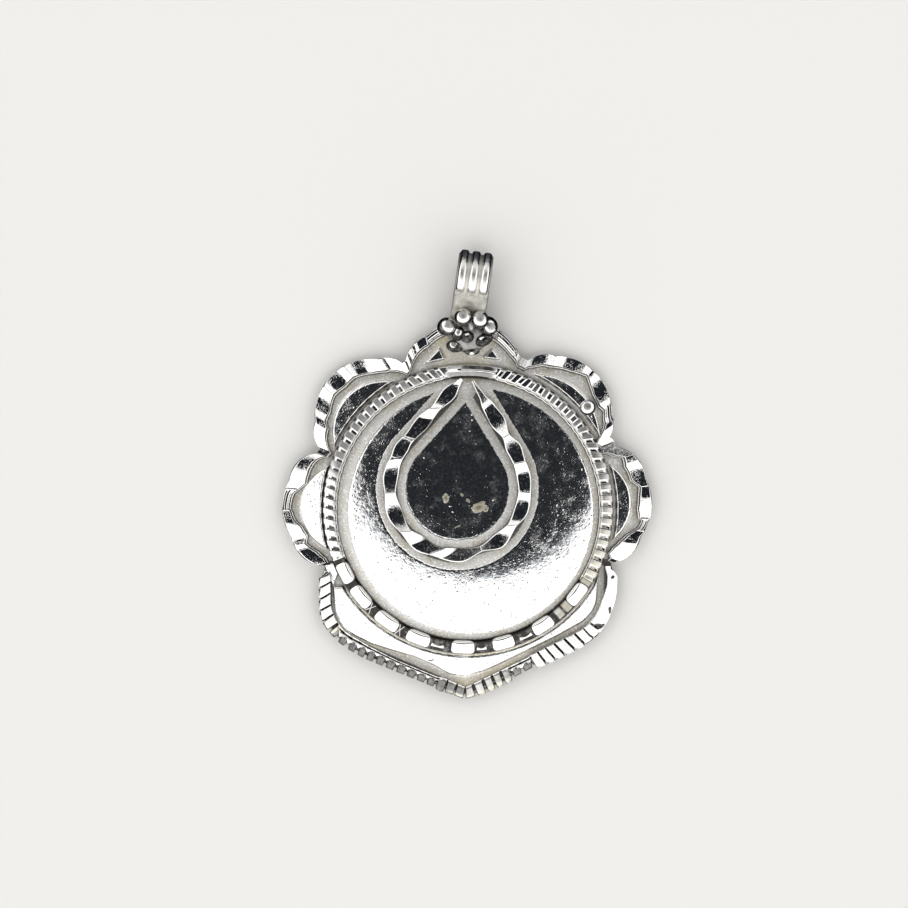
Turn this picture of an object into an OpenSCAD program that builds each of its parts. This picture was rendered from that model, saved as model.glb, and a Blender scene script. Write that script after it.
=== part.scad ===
// Silver amulet pendant, lying on its back: a scalloped sheet plate with a domed
// medallion, wires and rims set on it, and a ribbed bail for a cord.
// Millimetres. The front faces +Z, the bail points to +Y, and the back lies on z = 0.
// Every plan position below is measured from the medallion's centre.

/* [Plate] */
// Thickness of the sheet under everything
plate_t = 1.1; // [0.8:0.1:1.6]
// Height of the raised fields beside the ring
field_h = 0.7; // [0.4:0.1:0.9]
// Fall of those fields from the ring out to the petals' tips
field_fall = 1.0; // [0.4:0.1:1.2]

/* [Medallion] */
// Outer radius of the milled ring
ring_outer_r = 17.7; // [17:0.1:18.2]
// Width of that ring
ring_w = 1.5; // [1.2:0.1:1.7]
// Height of the ring above the plate
ring_h = 1.5; // [1.3:0.1:1.8]
// Pitch of the ring's teeth
tooth_pitch = 1.22; // [1:0.02:1.6]
// Height of the dome's edge above the plate
dome_edge_h = 0.6; // [0.3:0.1:0.9]
// Rise of the dome from its edge to its crown
dome_rise = 1.6; // [1:0.1:2.2]

/* [Teardrop] */
// Radius of the teardrop's round end, to the middle of its rim
drop_r = 8.2; // [7.5:0.1:8.6]
// Width of the teardrop rim where it is widest
drop_w = 1.95; // [1.5:0.05:2.2]
// Height of the teardrop rim above the dome
drop_h = 0.75; // [0.5:0.05:1]

/* [Petals] */
// Distance that the farthest petal reaches from the medallion's centre
petal_tip = 23.4; // [23:0.1:24]
// Height of the petal rims above the plate
rim_h = 1.15; // [0.9:0.05:1.4]
// Pitch of the bright cuts along the petal rims
cut_pitch = 2.6; // [2:0.1:3.2]
// Depth of a bright cut below the rim's crest
cut_depth = 0.3; // [0.15:0.05:0.4]

/* [Shield] */
// Half the width of the shield below the medallion
shield_half_w = 18.15; // [17.8:0.05:18.5]
// Distance from the medallion's centre down to the shield's tip
shield_tip = 23.3; // [22.8:0.1:24]
// Width of the milled border wire
border_w = 1.55; // [1.2:0.05:1.8]
// Height of the border wire above the plate
border_h = 1.1; // [0.8:0.05:1.4]

/* [Bail] */
// Radius of the hole that the cord goes through
bore_r = 2.3; // [2:0.05:2.4]
// Width of the bail along that hole
bail_w = 4.2; // [3.6:0.1:4.8]
// Thickness of the bail's strip under the ribs
strip_t = 0.6; // [0.5:0.05:0.7]
// Height of the ribs over the strip
rib_h = 0.4; // [0.3:0.05:0.5]
// Lean of the bail to the right
bail_lean = 8; // [0:1:12]

/* [Hidden] */
$fn = 96;
gap = 0.03;         // left between pieces that are soldered side by side
reach = 60;         // longer than anything here, for cutting blocks
deg = 180 / PI;

ring_mid_r = ring_outer_r - ring_w / 2;
dome_r = ring_outer_r - ring_w - gap;
dome_sphere_r = (dome_r * dome_r + dome_rise * dome_rise) / (2 * dome_rise);
dome_centre_z = plate_t + dome_edge_h + dome_rise - dome_sphere_r;

// The teardrop: its round end's centre and the point where its flanks would meet
drop_centre = [-1.3, 2.5];
drop_apex = [0, 16.2];
drop_axis = drop_apex - drop_centre;
drop_reach = norm(drop_axis);
drop_tilt = atan2(drop_axis.y, drop_axis.x);
drop_flank = acos(drop_r / drop_reach);     // from the axis to each tangent point
drop_flank_len = sqrt(drop_reach * drop_reach - drop_r * drop_r);
drop_end = 1.1;     // the rim's ends stop this far short of the apex
drop_side = drop_flank_len - drop_end;
drop_arc = (360 - 2 * drop_flank) / deg * drop_r;

// One row per petal: the way it points, how much less than petal_tip it reaches, its own
// radius, its rim's width, and the two rays that it lies between
PETAL_NAME = 0;
PETAL_DIR = 1;
PETAL_SHORT = 2;
PETAL_R = 3;
PETAL_RIM_W = 4;
PETAL_FROM = 5;
PETAL_TO = 6;
PETALS = [
    ["petal_rim_right",       2.3,   0.8, 6.7, 1.65, -20.5, 24.4],
    ["petal_rim_upper_right", 47.8,  0.5, 7.1, 1.85, 24.4,  69.6],
    ["petal_rim_top",         90.9,  0.2, 7.2, 1.35, 69.6,  113.2],
    ["petal_rim_upper_left",  135.9, 0,   7.1, 1.9,  113.2, 159.6],
    ["petal_rim_left",        179.2, 0.6, 6.5, 1.7,  159.6, 201],
];

// Where two petal rims run into each other their metal is drawn out to this radius
web_reach = 19.8;
web_r = 1.5;
web_h = 0.95;

// The petals' shoulders are fuller than their circles: middle and radius of a circle inside
// each shoulder, and the petal that it belongs to, counted from the right one
SHOULDER_AT = 0;
SHOULDER_R = 1;
SHOULDER_PETAL = 2;
SHOULDERS = [
    [[17.4, -2.75], 3.9,  0],
    [[17.6, 3.4],   4.3,  0],
    [[14.6, 10.6],  3.35, 1],
    [[9.6, 15.4],   3.65, 1],
    [[-3.9, 17.6],  3.85, 2],
    [[-10, 15.2],   3.4,  3],
    [[-15.4, 9.6],  3.6,  3],
    [[-18.3, 3.2],  3.7,  4],
    [[-17.3, -2.7], 4.45, 4],
];

// Directions of the long bright cuts on the lower part of the ring
LOWER_CUTS = [207, 219.5, 234, 249.5, 267.5, 285, 304, 322];
milled_from = -30;
milled_to = 200;
worn_from = 79;     // the top of the ring is worn smooth between these two
worn_to = 100;

// The shield: its lower corners and its tip are round, and the left corner hangs lower.
// Each half is described as if it were the right one, and mirrored for side = -1.
corner_r = 6;
tip_r = 2.2;
tip_x = -0.3;
shield_top_y = -6.6;
corner_drop = 0.9;
function corner_at(side) = [shield_half_w - corner_r, -10.9 - (side < 0 ? corner_drop : 0)];
function tip_at(side) = [side * tip_x, tip_r - shield_tip];
function corner_way(side) = corner_at(side) - tip_at(side);
function slope_len(side) = sqrt(pow(norm(corner_way(side)), 2) - pow(corner_r - tip_r, 2));
function slope_normal(side) =
    atan2(corner_way(side).y, corner_way(side).x)
    - acos((tip_r - corner_r) / norm(corner_way(side)));
border_teeth = 44;
margin = 0.85;      // unpolished strip between a wire and a raised field

bail_out_r = bore_r + strip_t + rib_h;
bail_at = [0.65, 28.15];
rib_r = 0.62;
neck_w = 4.3;
rosette_at = [-0.1, 22.0];
granule_at = [14.65, 12.4];
granule_r = 0.9;

// Granules of the rosette: offset from its middle, height of the centre, radius
GRANULES = [
    [-0.65, 1.35, 4.25, 0.95],
    [1.4,   1.05, 4.25, 0.95],
    [-2.5,  0.45, 3.35, 1.0],
    [2.85,  0.2,  3.2,  0.85],
    [-0.1, -1.1,  3.7,  0.8],
    [2.1,  -1.25, 3.15, 0.8],
    [-1.75, -2.0, 2.4,  0.75],
    [0.5,  -2.55, 2.3,  0.7],
];

// Plan extents of the whole pendant, used to put the frame's origin under their middle
top_y = bail_at.y + bail_out_r * cos(bail_lean) + bail_w / 2 * sin(bail_lean);
left_x = petal_centre(PETALS[4]).x - PETALS[4][PETAL_R];
right_x = petal_centre(PETALS[0]).x + PETALS[0][PETAL_R];
middle = [(left_x + right_x) / 2, (top_y - shield_tip) / 2];

function polar(r, a) = [r * cos(a), r * sin(a)];

function petal_centre(p) = polar(petal_tip - p[PETAL_SHORT] - p[PETAL_R], p[PETAL_DIR]);

// Length of one half of the shield's outline, inset by d
function shield_len(side, d) =
    (tip_r - d) * (slope_normal(side) + 90) / deg + slope_len(side)
    - (corner_r - d) * slope_normal(side) / deg + shield_top_y - corner_at(side).y;

// Point of the shield's outline, inset by d, at the share t of the way from its tip to the
// top of its right side; t < 0 is on the left
function shield_at(t, d) =
    let (
        side = t < 0 ? -1 : 1,
        v = abs(t) * shield_len(side, d),
        normal = slope_normal(side),
        tip_end = (tip_r - d) * (normal + 90) / deg,
        slope_end = tip_end + slope_len(side),
        corner_end = slope_end - (corner_r - d) * normal / deg,
        p = v < tip_end ? tip_at(side) + polar(tip_r - d, -90 + v / (tip_r - d) * deg)
          : v < slope_end ? tip_at(side) + polar(tip_r - d, normal) + polar(v - tip_end, normal + 90)
          : v < corner_end ? corner_at(side)
                + polar(corner_r - d, normal + (v - slope_end) / (corner_r - d) * deg)
          : corner_at(side) + [corner_r - d, v - corner_end]
    )
    [side * p.x, p.y];

// Closed outline of the shield, inset by d
function shield_outline(d, steps) = [for (i = [-steps : steps]) shield_at(i / steps, d)];

// Section of a rim or wire: w wide, h high, with a round crown over low walls
module crowned(w, h, wall) {
    sagitta = h - wall;
    crown_r = (w * w / 4 + sagitta * sagitta) / (2 * sagitta);
    intersection() {
        translate([-w / 2, 0]) square([w, h]);
        translate([0, h - crown_r]) circle(crown_r);
    }
}

// A shallow scoop across a wire that runs along Y and has its crest at height h
module scoop(h, depth, across, sweep_r) {
    translate([0, 0, h - depth + sweep_r])
        rotate([0, 90, 0]) cylinder(r = sweep_r, h = across, center = true);
}

// The part of the plan between two rays from the medallion's centre
module sector(a, b) {
    linear_extrude(reach)
        polygon([[0, 0], polar(reach, a), polar(reach, (a + b) / 2), polar(reach, b)]);
}

// Low cone round the medallion, the top of the raised fields, grown upwards by lift
module field_cone(lift) {
    field_reach = petal_tip - ring_outer_r;
    run = field_reach / field_fall;
    translate([0, 0, plate_t])
        cylinder(r1 = ring_outer_r + run * (field_h + lift), r2 = ring_outer_r,
            h = field_h + lift);
}

// The raised fields, kept clear of the wires by the margin
module fields() {
    intersection() {
        field_cone(0);
        difference() {
            linear_extrude(reach) {
                for (p = PETALS)
                    translate(petal_centre(p)) circle(p[PETAL_R] - p[PETAL_RIM_W] - margin);
                polygon(shield_outline(border_w + margin, 28));
            }
            cylinder(r = ring_outer_r + margin / 2, h = reach);
        }
    }
}

// Puts its child at each place where two petals meet
module webs() {
    for (i = [0 : len(PETALS) - 2])
        translate(polar(web_reach - web_r, PETALS[i][PETAL_TO])) children();
}

module plate() {
    edge = 0.12;    // the sheet stops this far inside the wires' outer edges
    color("silver") {
        linear_extrude(plate_t) {
            circle(ring_outer_r);
            for (p = PETALS) translate(petal_centre(p)) circle(p[PETAL_R] - edge);
            webs() circle(web_r - edge);
            for (s = SHOULDERS) translate(s[SHOULDER_AT]) circle(s[SHOULDER_R] - edge);
            polygon(shield_outline(edge, 28));
        }
        fields();
    }
}

module medallion() {
    color("silver")
        intersection() {
            translate([0, 0, plate_t]) cylinder(r = dome_r, h = dome_edge_h + dome_rise);
            translate([0, 0, dome_centre_z]) sphere(dome_sphere_r, $fn = 240);
        }
}

// Vee notch across the ring, at the direction a
module notch(a) {
    half = tooth_pitch * 0.24;
    depth = 0.42;
    rotate(a) translate([ring_mid_r - ring_w, 0, plate_t + ring_h - depth])
        rotate([90, 0, 90]) linear_extrude(2 * ring_w)
            polygon([[0, 0], [half, depth + gap], [-half, depth + gap]]);
}

module milled_ring() {
    step = tooth_pitch / ring_mid_r * deg;
    color("silver")
        difference() {
            translate([0, 0, plate_t])
                rotate_extrude($fn = 180) translate([ring_mid_r, 0]) crowned(ring_w, ring_h, 0.9);
            for (a = [milled_from : step : milled_to])
                if (a < worn_from || a > worn_to) notch(a);
            for (a = LOWER_CUTS)
                rotate(a) translate([ring_mid_r, 0, plate_t]) scoop(ring_h, 0.36, 2 * ring_w, 5);
        }
}

// A solid through a row of sections, each the same number of points round a loop
module ribbon(sections) {
    n = len(sections[0]);
    last = len(sections) - 1;
    points = [for (section = sections) for (q = section) q];
    sides = [
        for (i = [0 : last - 1], k = [0 : n - 1])
            let (a = i * n + k, b = i * n + (k + 1) % n)
            [a, b, b + n, a + n]
    ];
    caps = [[for (k = [n - 1 : -1 : 0]) k], [for (k = [0 : n - 1]) last * n + k]];
    polyhedron(points, concat(sides, caps), convexity = 10);
}

// Outward direction of the teardrop's rim at the distance v along it from its left end
function drop_normal(v) =
    drop_tilt + drop_flank + min(max(v - drop_side, 0), drop_arc) / drop_r * deg;

// Point of the teardrop's rim at the distance v along it, moved outwards by d
function drop_at(v, d) =
    let (
        a = drop_normal(v),
        past = v < drop_side ? v - drop_side : max(v - drop_side - drop_arc, 0)
    )
    drop_centre + polar(drop_r + d, a) + polar(past, a + 90);

function dome_z(p) = dome_centre_z + sqrt(dome_sphere_r * dome_sphere_r - p.x * p.x - p.y * p.y);

// The rim stands on the dome and is cut into facets, one crest and one valley to each
module teardrop_rim() {
    total = 2 * drop_side + drop_arc;
    facets = 28;
    color("silver") ribbon([
        for (i = [0 : 2 * facets])
            let (
                v = i / (2 * facets) * total,
                crest = i % 2 == 1,
                near_end = min(v, total - v, 4) / 4,
                w = (crest ? drop_w : drop_w - 0.35) * (0.45 + 0.55 * near_end) / 2,
                h = crest ? drop_h : drop_h - 0.2
            )
            [for (q = [[-w, 0], [w, 0], [w, h / 2], [0.4 * w, h], [-0.4 * w, h], [-w, h / 2]])
                let (p = drop_at(v, q.x)) [p.x, p.y, dome_z(p) + gap + q.y]]
    ]);
}

// What a petal's shoulders add outside the crest of its rim
module shoulders(p) {
    difference() {
        for (s = SHOULDERS)
            if (PETALS[s[SHOULDER_PETAL]][PETAL_NAME] == p[PETAL_NAME])
                translate([s[SHOULDER_AT].x, s[SHOULDER_AT].y, plate_t])
                    cylinder(r = s[SHOULDER_R], h = web_h);
        translate(petal_centre(p))
            cylinder(r = p[PETAL_R] - 0.8 * p[PETAL_RIM_W], h = reach);
    }
}

// One petal's rim, given its row of the table
module petal_rim(p) {
    w = p[PETAL_RIM_W];
    mid_r = p[PETAL_R] - w / 2;
    half_cuts = 4;
    color("silver")
        intersection() {
            difference() {
                union() {
                    translate(petal_centre(p)) rotate(p[PETAL_DIR])
                        translate([0, 0, plate_t]) difference() {
                            rotate_extrude() translate([mid_r, 0]) crowned(w, rim_h, 0.5);
                            for (i = [-half_cuts : half_cuts])
                                rotate(i * cut_pitch / mid_r * deg) translate([mid_r, 0, 0])
                                    scoop(rim_h, cut_depth, 2 * w, 4);
                        }
                    webs() translate([0, 0, plate_t]) cylinder(r = web_r, h = web_h, $fn = 40);
                    shoulders(p);
                }
                cylinder(r = ring_outer_r + gap, h = reach);
                if (p[PETAL_NAME] == "petal_rim_top") neck(gap);
            }
            sector(p[PETAL_FROM] + 0.1, p[PETAL_TO] - 0.1);
        }
}

// Section of the border wire at the share t of its crown: 0 in a valley, 1 on a tooth
function border_section(t) =
    let (out = border_w / 2 - 0.3 * (1 - t), h = border_h * (0.72 + 0.28 * t), w = border_w / 2)
    [[-w, 0], [out, 0], [out, 0.45 * h], [0.62 * out, 0.88 * h],
        [0, h], [-0.62 * w, 0.86 * h], [-w, 0.5 * h]];

// Sweeps the toothed section along the shield's outline, from its left top to its right top
module shield_border() {
    marks = [0, 0.22, 0.72, 0.94];      // where in each pitch a valley or a crown begins
    heights = [0, 1, 1, 0];
    rows = [
        for (i = [0 : border_teeth - 1], k = [0 : 3])
            [(i + marks[k]) / border_teeth * 2 - 1, heights[k]]
    ];
    color("silver") ribbon([
        for (row = concat(rows, [[1, 0]]))
            let (
                t = row[0],
                p = shield_at(t, border_w / 2),
                ahead = shield_at(t + 0.001, border_w / 2) - shield_at(t - 0.001, border_w / 2),
                out = [ahead.y, -ahead.x] / norm(ahead)
            )
            [for (q = border_section(row[1])) [p.x + out.x * q.x, p.y + out.y * q.x, plate_t + q.y]]
    ]);
}

// The bail's foot: it leaves the loop at the bottom and lies on the top petal
module neck(grow) {
    seat = plate_t + 0.65;
    profile = [[-2.75, 4.9], [-3.2, 4.3], [-4.6, 3.2], [-7.3, seat + 0.7], [-7.3, seat - grow],
        [-4.85 + grow, seat - grow], [-4.7, 0.9], [-2.2, 0.9]];
    translate([bail_at.x, bail_at.y]) rotate(-bail_lean)
        translate([-neck_w / 2 - grow, 0, 0]) rotate([90, 0, 90])
            linear_extrude(neck_w + 2 * grow) polygon(profile);
}

module bail() {
    color("silver")
        difference() {
            union() {
                translate([bail_at.x, bail_at.y, bail_out_r]) rotate([0, 90, -bail_lean])
                    rotate_extrude() {
                        translate([bore_r - 0.1, -bail_w / 2]) square([strip_t + 0.1, bail_w]);
                        for (i = [-1 : 1])
                            translate([bail_out_r - rib_r, i * bail_w / 3]) circle(rib_r, $fn = 32);
                    }
                neck(0);
            }
            translate([bail_at.x, bail_at.y, bail_out_r]) rotate([0, 90, -bail_lean])
                cylinder(r = bore_r, h = 3 * bail_w, center = true);
        }
}

module rosette() {
    color("silver")
        difference() {
            union() {
                translate([rosette_at.x, rosette_at.y - 0.1, plate_t + rim_h + gap])
                    cylinder(r1 = 2.9, r2 = 2.0, h = 1.7);
                for (g = GRANULES)
                    translate([rosette_at.x + g[0], rosette_at.y + g[1], g[2]]) sphere(g[3], $fn = 32);
            }
            neck(gap);
        }
}

module granule() {
    color("silver")
        translate([granule_at.x, granule_at.y, 0])
            translate([0, 0, plate_t + field_h - 0.1])
                difference() {
                    sphere(granule_r, $fn = 48);
                    translate([0, 0, -2 * granule_r]) cylinder(r = reach, h = 2 * granule_r);
                }
}

module place() {
    translate([-middle.x, -middle.y, 0]) children();
}

place() plate();
place() medallion();
place() milled_ring();
place() teardrop_rim();
for (p = PETALS)
    place() petal_rim(p);
place() shield_border();
place() bail();
place() rosette();
place() granule();
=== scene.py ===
# %% [markdown]
# # A silver amulet pendant
# The pendant lies on its back on a pale table, seen from straight above. Silver has hardly a
# colour of its own: what we see is the shape of each small facet and what that facet mirrors.
# So most of this lesson is about shapes, worked out with numpy, and about a light tent whose
# dark opening above shows up in every level facet.

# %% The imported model
import bpy
import numpy as np
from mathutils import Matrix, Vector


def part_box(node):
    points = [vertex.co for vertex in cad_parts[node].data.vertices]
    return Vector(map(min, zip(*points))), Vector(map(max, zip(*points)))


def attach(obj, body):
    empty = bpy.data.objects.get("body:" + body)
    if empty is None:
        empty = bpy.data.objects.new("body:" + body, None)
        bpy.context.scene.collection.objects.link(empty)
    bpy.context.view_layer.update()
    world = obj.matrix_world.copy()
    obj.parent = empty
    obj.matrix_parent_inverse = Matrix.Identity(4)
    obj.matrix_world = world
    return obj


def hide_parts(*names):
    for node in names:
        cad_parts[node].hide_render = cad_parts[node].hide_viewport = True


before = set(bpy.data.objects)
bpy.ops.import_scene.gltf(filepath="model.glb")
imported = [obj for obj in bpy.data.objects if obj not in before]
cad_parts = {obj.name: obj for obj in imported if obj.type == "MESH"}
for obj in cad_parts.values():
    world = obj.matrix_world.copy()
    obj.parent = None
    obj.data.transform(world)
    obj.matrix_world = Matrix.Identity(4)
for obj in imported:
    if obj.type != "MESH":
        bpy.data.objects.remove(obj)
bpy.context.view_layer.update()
low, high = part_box("medallion")
MIDDLE = np.array([(low.x + high.x) / 2, (low.y + high.y) / 2, 0.0]) * 1000
print("the medallion's middle, in mm:", MIDDLE.round(2))

# %% [markdown]
# ## Camera
# A long lens straight above, so that the rim of the bail, which stands highest, hardly grows.
# The picture is 110.8 mm wide at the height of the fields, and its middle is a little above and
# left of the medallion's middle.

# %% The camera
PICTURE_W = 110.8
LENS, SENSOR = 100.0, 36.0
camera = bpy.data.objects.new("camera", bpy.data.cameras.new("camera"))
camera.data.lens, camera.data.sensor_width = LENS, SENSOR
camera.data.clip_start = 0.01
camera.location = (MIDDLE + [-1.71, 6.71, PICTURE_W * LENS / SENSOR + 2.2]) / 1000
bpy.context.scene.collection.objects.link(camera)
bpy.context.scene.camera = camera
print("camera height in mm:", round(camera.location.z * 1000))

# %% [markdown]
# ## The sizes that everything shares
# All lengths are millimetres from the medallion's middle, with x to the right, y towards the
# bail and z up from the table. They are the same ones that the solid model is made from.

# %% Shared sizes
PLATE_T = 1.1
RING_OUT, RING_IN = 17.7, 16.2
DOME_R, DOME_EDGE, DOME_RISE = 16.17, 1.7, 1.6
DOME_SPHERE = (DOME_R ** 2 + DOME_RISE ** 2) / (2 * DOME_RISE)
DROP_CENTRE, DROP_R = np.array([-1.3, 2.5]), 8.2
DROP_APEX = np.array([0.0, 16.2])
PETALS = {        # direction in degrees, reach from the middle, own radius, rim width
    "right": (2.3, 22.6, 6.7, 1.75),
    "upper_right": (47.8, 22.9, 7.1, 1.95),
    "top": (90.9, 23.2, 7.2, 1.4),
    "upper_left": (135.9, 23.4, 7.1, 2.0),
    "left": (179.2, 22.8, 6.5, 1.75),
}
WEBS = {"right": 24.4, "upper_right": 69.6, "top": 113.2, "upper_left": 159.6}
WEB_REACH, WEB_R = 19.75, 1.45
FIELD_H, FIELD_SLOPE = 0.7, 0.185


def unit(degrees):
    """The point at distance one in that direction: its cosine and its sine."""
    a = np.radians(degrees)
    return np.stack([np.cos(a), np.sin(a)], -1)


def ease(x):
    """An S-curve from 0 to 1 as x goes from 0 to 1: three x squared less two x cubed."""
    x = np.clip(x, 0, 1)
    return x * x * (3 - 2 * x)


def dome_z(x, y):
    """Height of the dome: its sphere's middle plus the root of radius squared less distance squared."""
    under = DOME_EDGE + DOME_RISE - DOME_SPHERE
    return under + np.sqrt(DOME_SPHERE ** 2 - x ** 2 - y ** 2)


print("dome radius of curvature in mm:", round(DOME_SPHERE, 1))

# %% [markdown]
# ## From a grid of numbers to a mesh
# Every piece is a grid of points that numpy works out at once. Neighbours on the grid make the
# quads, a grid can be joined to itself in either direction, and an open end gets one flat face.
# The volume under the faces tells whether they point outwards: if it is negative, they are
# turned round.

# %% A grid becomes a piece
def piece(name, grids, node, material):
    """Joins grids into one mesh: 4 neighbours make a quad, and 6 times a volume is a sum of a·(b×c).

    A grid is (points, join rows, join columns, {value name: values}). The piece stands in for
    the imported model's node of that name.
    """
    points, quads, caps, values, start = [], [], [], {}, 0
    for p, join_u, join_v, extra in grids:
        nu, nv = p.shape[:2]
        index = np.arange(nu * nv).reshape(nu, nv) + start
        wide = np.vstack([index, index[:1]]) if join_u else index
        wide = np.hstack([wide, wide[:, :1]]) if join_v else wide
        q = np.stack([wide[:-1, :-1], wide[1:, :-1], wide[1:, 1:], wide[:-1, 1:]], -1)
        q = q.reshape(-1, 4)
        ends = []
        if join_v and not join_u:
            ends = [index[0], index[-1, ::-1]]
        if join_u and not join_v:
            ends = [index[::-1, 0], index[:, -1]]
        flat_p = p.reshape(-1, 3)
        a, b, c, d = (flat_p[q[:, k] - start] for k in range(4))
        six_volumes = np.sum(a * np.cross(b, c)) + np.sum(a * np.cross(c, d))
        if six_volumes < 0:
            q, ends = q[:, ::-1], [e[::-1] for e in ends]
        quads += q.tolist()
        caps += [e.tolist() for e in ends]
        points.append(flat_p)
        for key in set(values) | set(extra):
            new = np.asarray(extra.get(key, np.zeros(nu * nv)), float).reshape(-1)
            values[key] = np.concatenate([values.get(key, np.zeros(start)), new])
        start += nu * nv
    mesh = bpy.data.meshes.new(name)
    mesh.from_pydata(((np.concatenate(points) + MIDDLE) / 1000).tolist(), [], quads + caps)
    for key, value in values.items():
        stored = mesh.attributes.new(key, "FLOAT", "POINT")
        stored.data.foreach_set("value", value.astype(np.float32))
    mesh.polygons.foreach_set("use_smooth", np.full(len(mesh.polygons), True))
    mesh.update()
    made = bpy.data.objects.new(name, mesh)
    bpy.context.scene.collection.objects.link(made)
    mesh.materials.append(material)
    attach(made, "root")
    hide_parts(node)
    print(f"{name}: {len(mesh.polygons)} faces")


# %% [markdown]
# ## Finishes as sums
# A finish is a small network of nodes. Written as nodes it is hard to read, so a `Signal` wraps
# one socket and lets us write `mask * 2 + 0.1`: each operator adds the Math node for it. Any
# other node comes from `Finish.node`.

# %% Signals and finishes
class Signal:
    """A socket in a finish. Sums and products of signals add Math nodes."""

    def __init__(self, finish, socket):
        self.finish, self.socket = finish, socket

    def math(self, operation, a, b=0.0):
        return self.finish.node("ShaderNodeMath", {"operation": operation}, {0: a, 1: b})

    def wave(self): return self.math("SINE", self * (2 * np.pi))
    def __add__(self, other): return self.math("ADD", self, other)
    def __radd__(self, other): return self.math("ADD", other, self)
    def __sub__(self, other): return self.math("SUBTRACT", self, other)
    def __rsub__(self, other): return self.math("SUBTRACT", other, self)
    def __mul__(self, other): return self.math("MULTIPLY", self, other)
    def __rmul__(self, other): return self.math("MULTIPLY", other, self)
    def most(self, other): return self.math("MAXIMUM", self, other)
    def least(self, other): return self.math("MINIMUM", self, other)

    def rise(self, start, end):
        """0 below start, 1 above end, and an S-curve between; start may be the larger one."""
        return self.finish.node("ShaderNodeMapRange", {"interpolation_type": "SMOOTHSTEP"},
                                {0: self, 1: start, 2: end, 3: 0.0, 4: 1.0})


class Finish:
    """A material whose nodes are written as expressions."""

    def __init__(self, name):
        self.material = bpy.data.materials.new(name)
        self.material.use_nodes = True
        self.tree = self.material.node_tree
        self.tree.nodes.clear()

    def node(self, kind, settings=None, inputs=None, output=0):
        """Adds a node: its settings first, then the values or links of its sockets."""
        made = self.tree.nodes.new(kind)
        for key, value in (settings or {}).items():
            setattr(made, key, value)
        for key, value in (inputs or {}).items():
            if isinstance(value, Signal):
                self.tree.links.new(value.socket, made.inputs[key])
            else:
                made.inputs[key].default_value = value
        return Signal(self, made.outputs[output]) if len(made.outputs) else None

    def value(self, name):
        """A value that is stored at each point of the piece."""
        return self.node("ShaderNodeAttribute", {"attribute_name": name}, output=2)

    def place(self):
        """The point's own place, in metres: Object coordinates."""
        return self.node("ShaderNodeTexCoord", output=3)

    def noise(self, per_mm, detail=2.0, roughness=0.5):
        """Noise with that many lumps to a millimetre, from 0 to 1."""
        return self.node("ShaderNodeTexNoise", {}, {
            "Vector": self.place(), "Scale": per_mm * 1000, "Detail": detail, "Roughness": roughness})

    def pits(self, per_mm, size):
        """1 in the middle of scattered round pits, 0 outside: nearness to random points."""
        far = self.node("ShaderNodeTexVoronoi", {},
                        {"Vector": self.place(), "Scale": per_mm * 1000, "Randomness": 1.0})
        return far.rise(size, size * 0.3)

    def mix(self, share, a, b):
        """Two colours mixed: a times one less the share, plus b times the share."""
        return self.node("ShaderNodeMix", {"data_type": "RGBA"}, {0: share, 6: a, 7: b}, output=2)

    def bump(self, height_mm):
        """The surface tipped as if it were that much higher."""
        inputs = {"Strength": 1.0, "Distance": 0.001, "Height": height_mm}
        return self.node("ShaderNodeBump", {}, inputs)

    def surface(self, kind, inputs):
        """The shader that the material ends in."""
        shader = self.node(kind, {}, inputs)
        self.node("ShaderNodeOutputMaterial", {}, {"Surface": shader})
        return self.material

    def metal(self, colour, roughness, normal, metallic=1.0):
        return self.surface("ShaderNodeBsdfPrincipled", {
            "Base Color": colour, "Metallic": metallic, "Roughness": roughness, "Normal": normal})


BRIGHT = (0.95, 0.94, 0.925, 1.0)
FROST = (0.50, 0.49, 0.46, 1.0)
YELLOWED = (0.43, 0.40, 0.32, 1.0)
GREY = (0.56, 0.555, 0.54, 1.0)
SHADE = (0.04, 0.038, 0.035, 1.0)
CRUST = (0.42, 0.39, 0.29, 1.0)
CRUST_RIM = (0.20, 0.185, 0.145, 1.0)
TAN = (0.70, 0.63, 0.46, 1.0)
HONEY = (0.68, 0.64, 0.50, 1.0)
BAIL_GREY = (0.60, 0.58, 0.52, 1.0)
print("ten tones, from bright silver to shade and crust")
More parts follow.
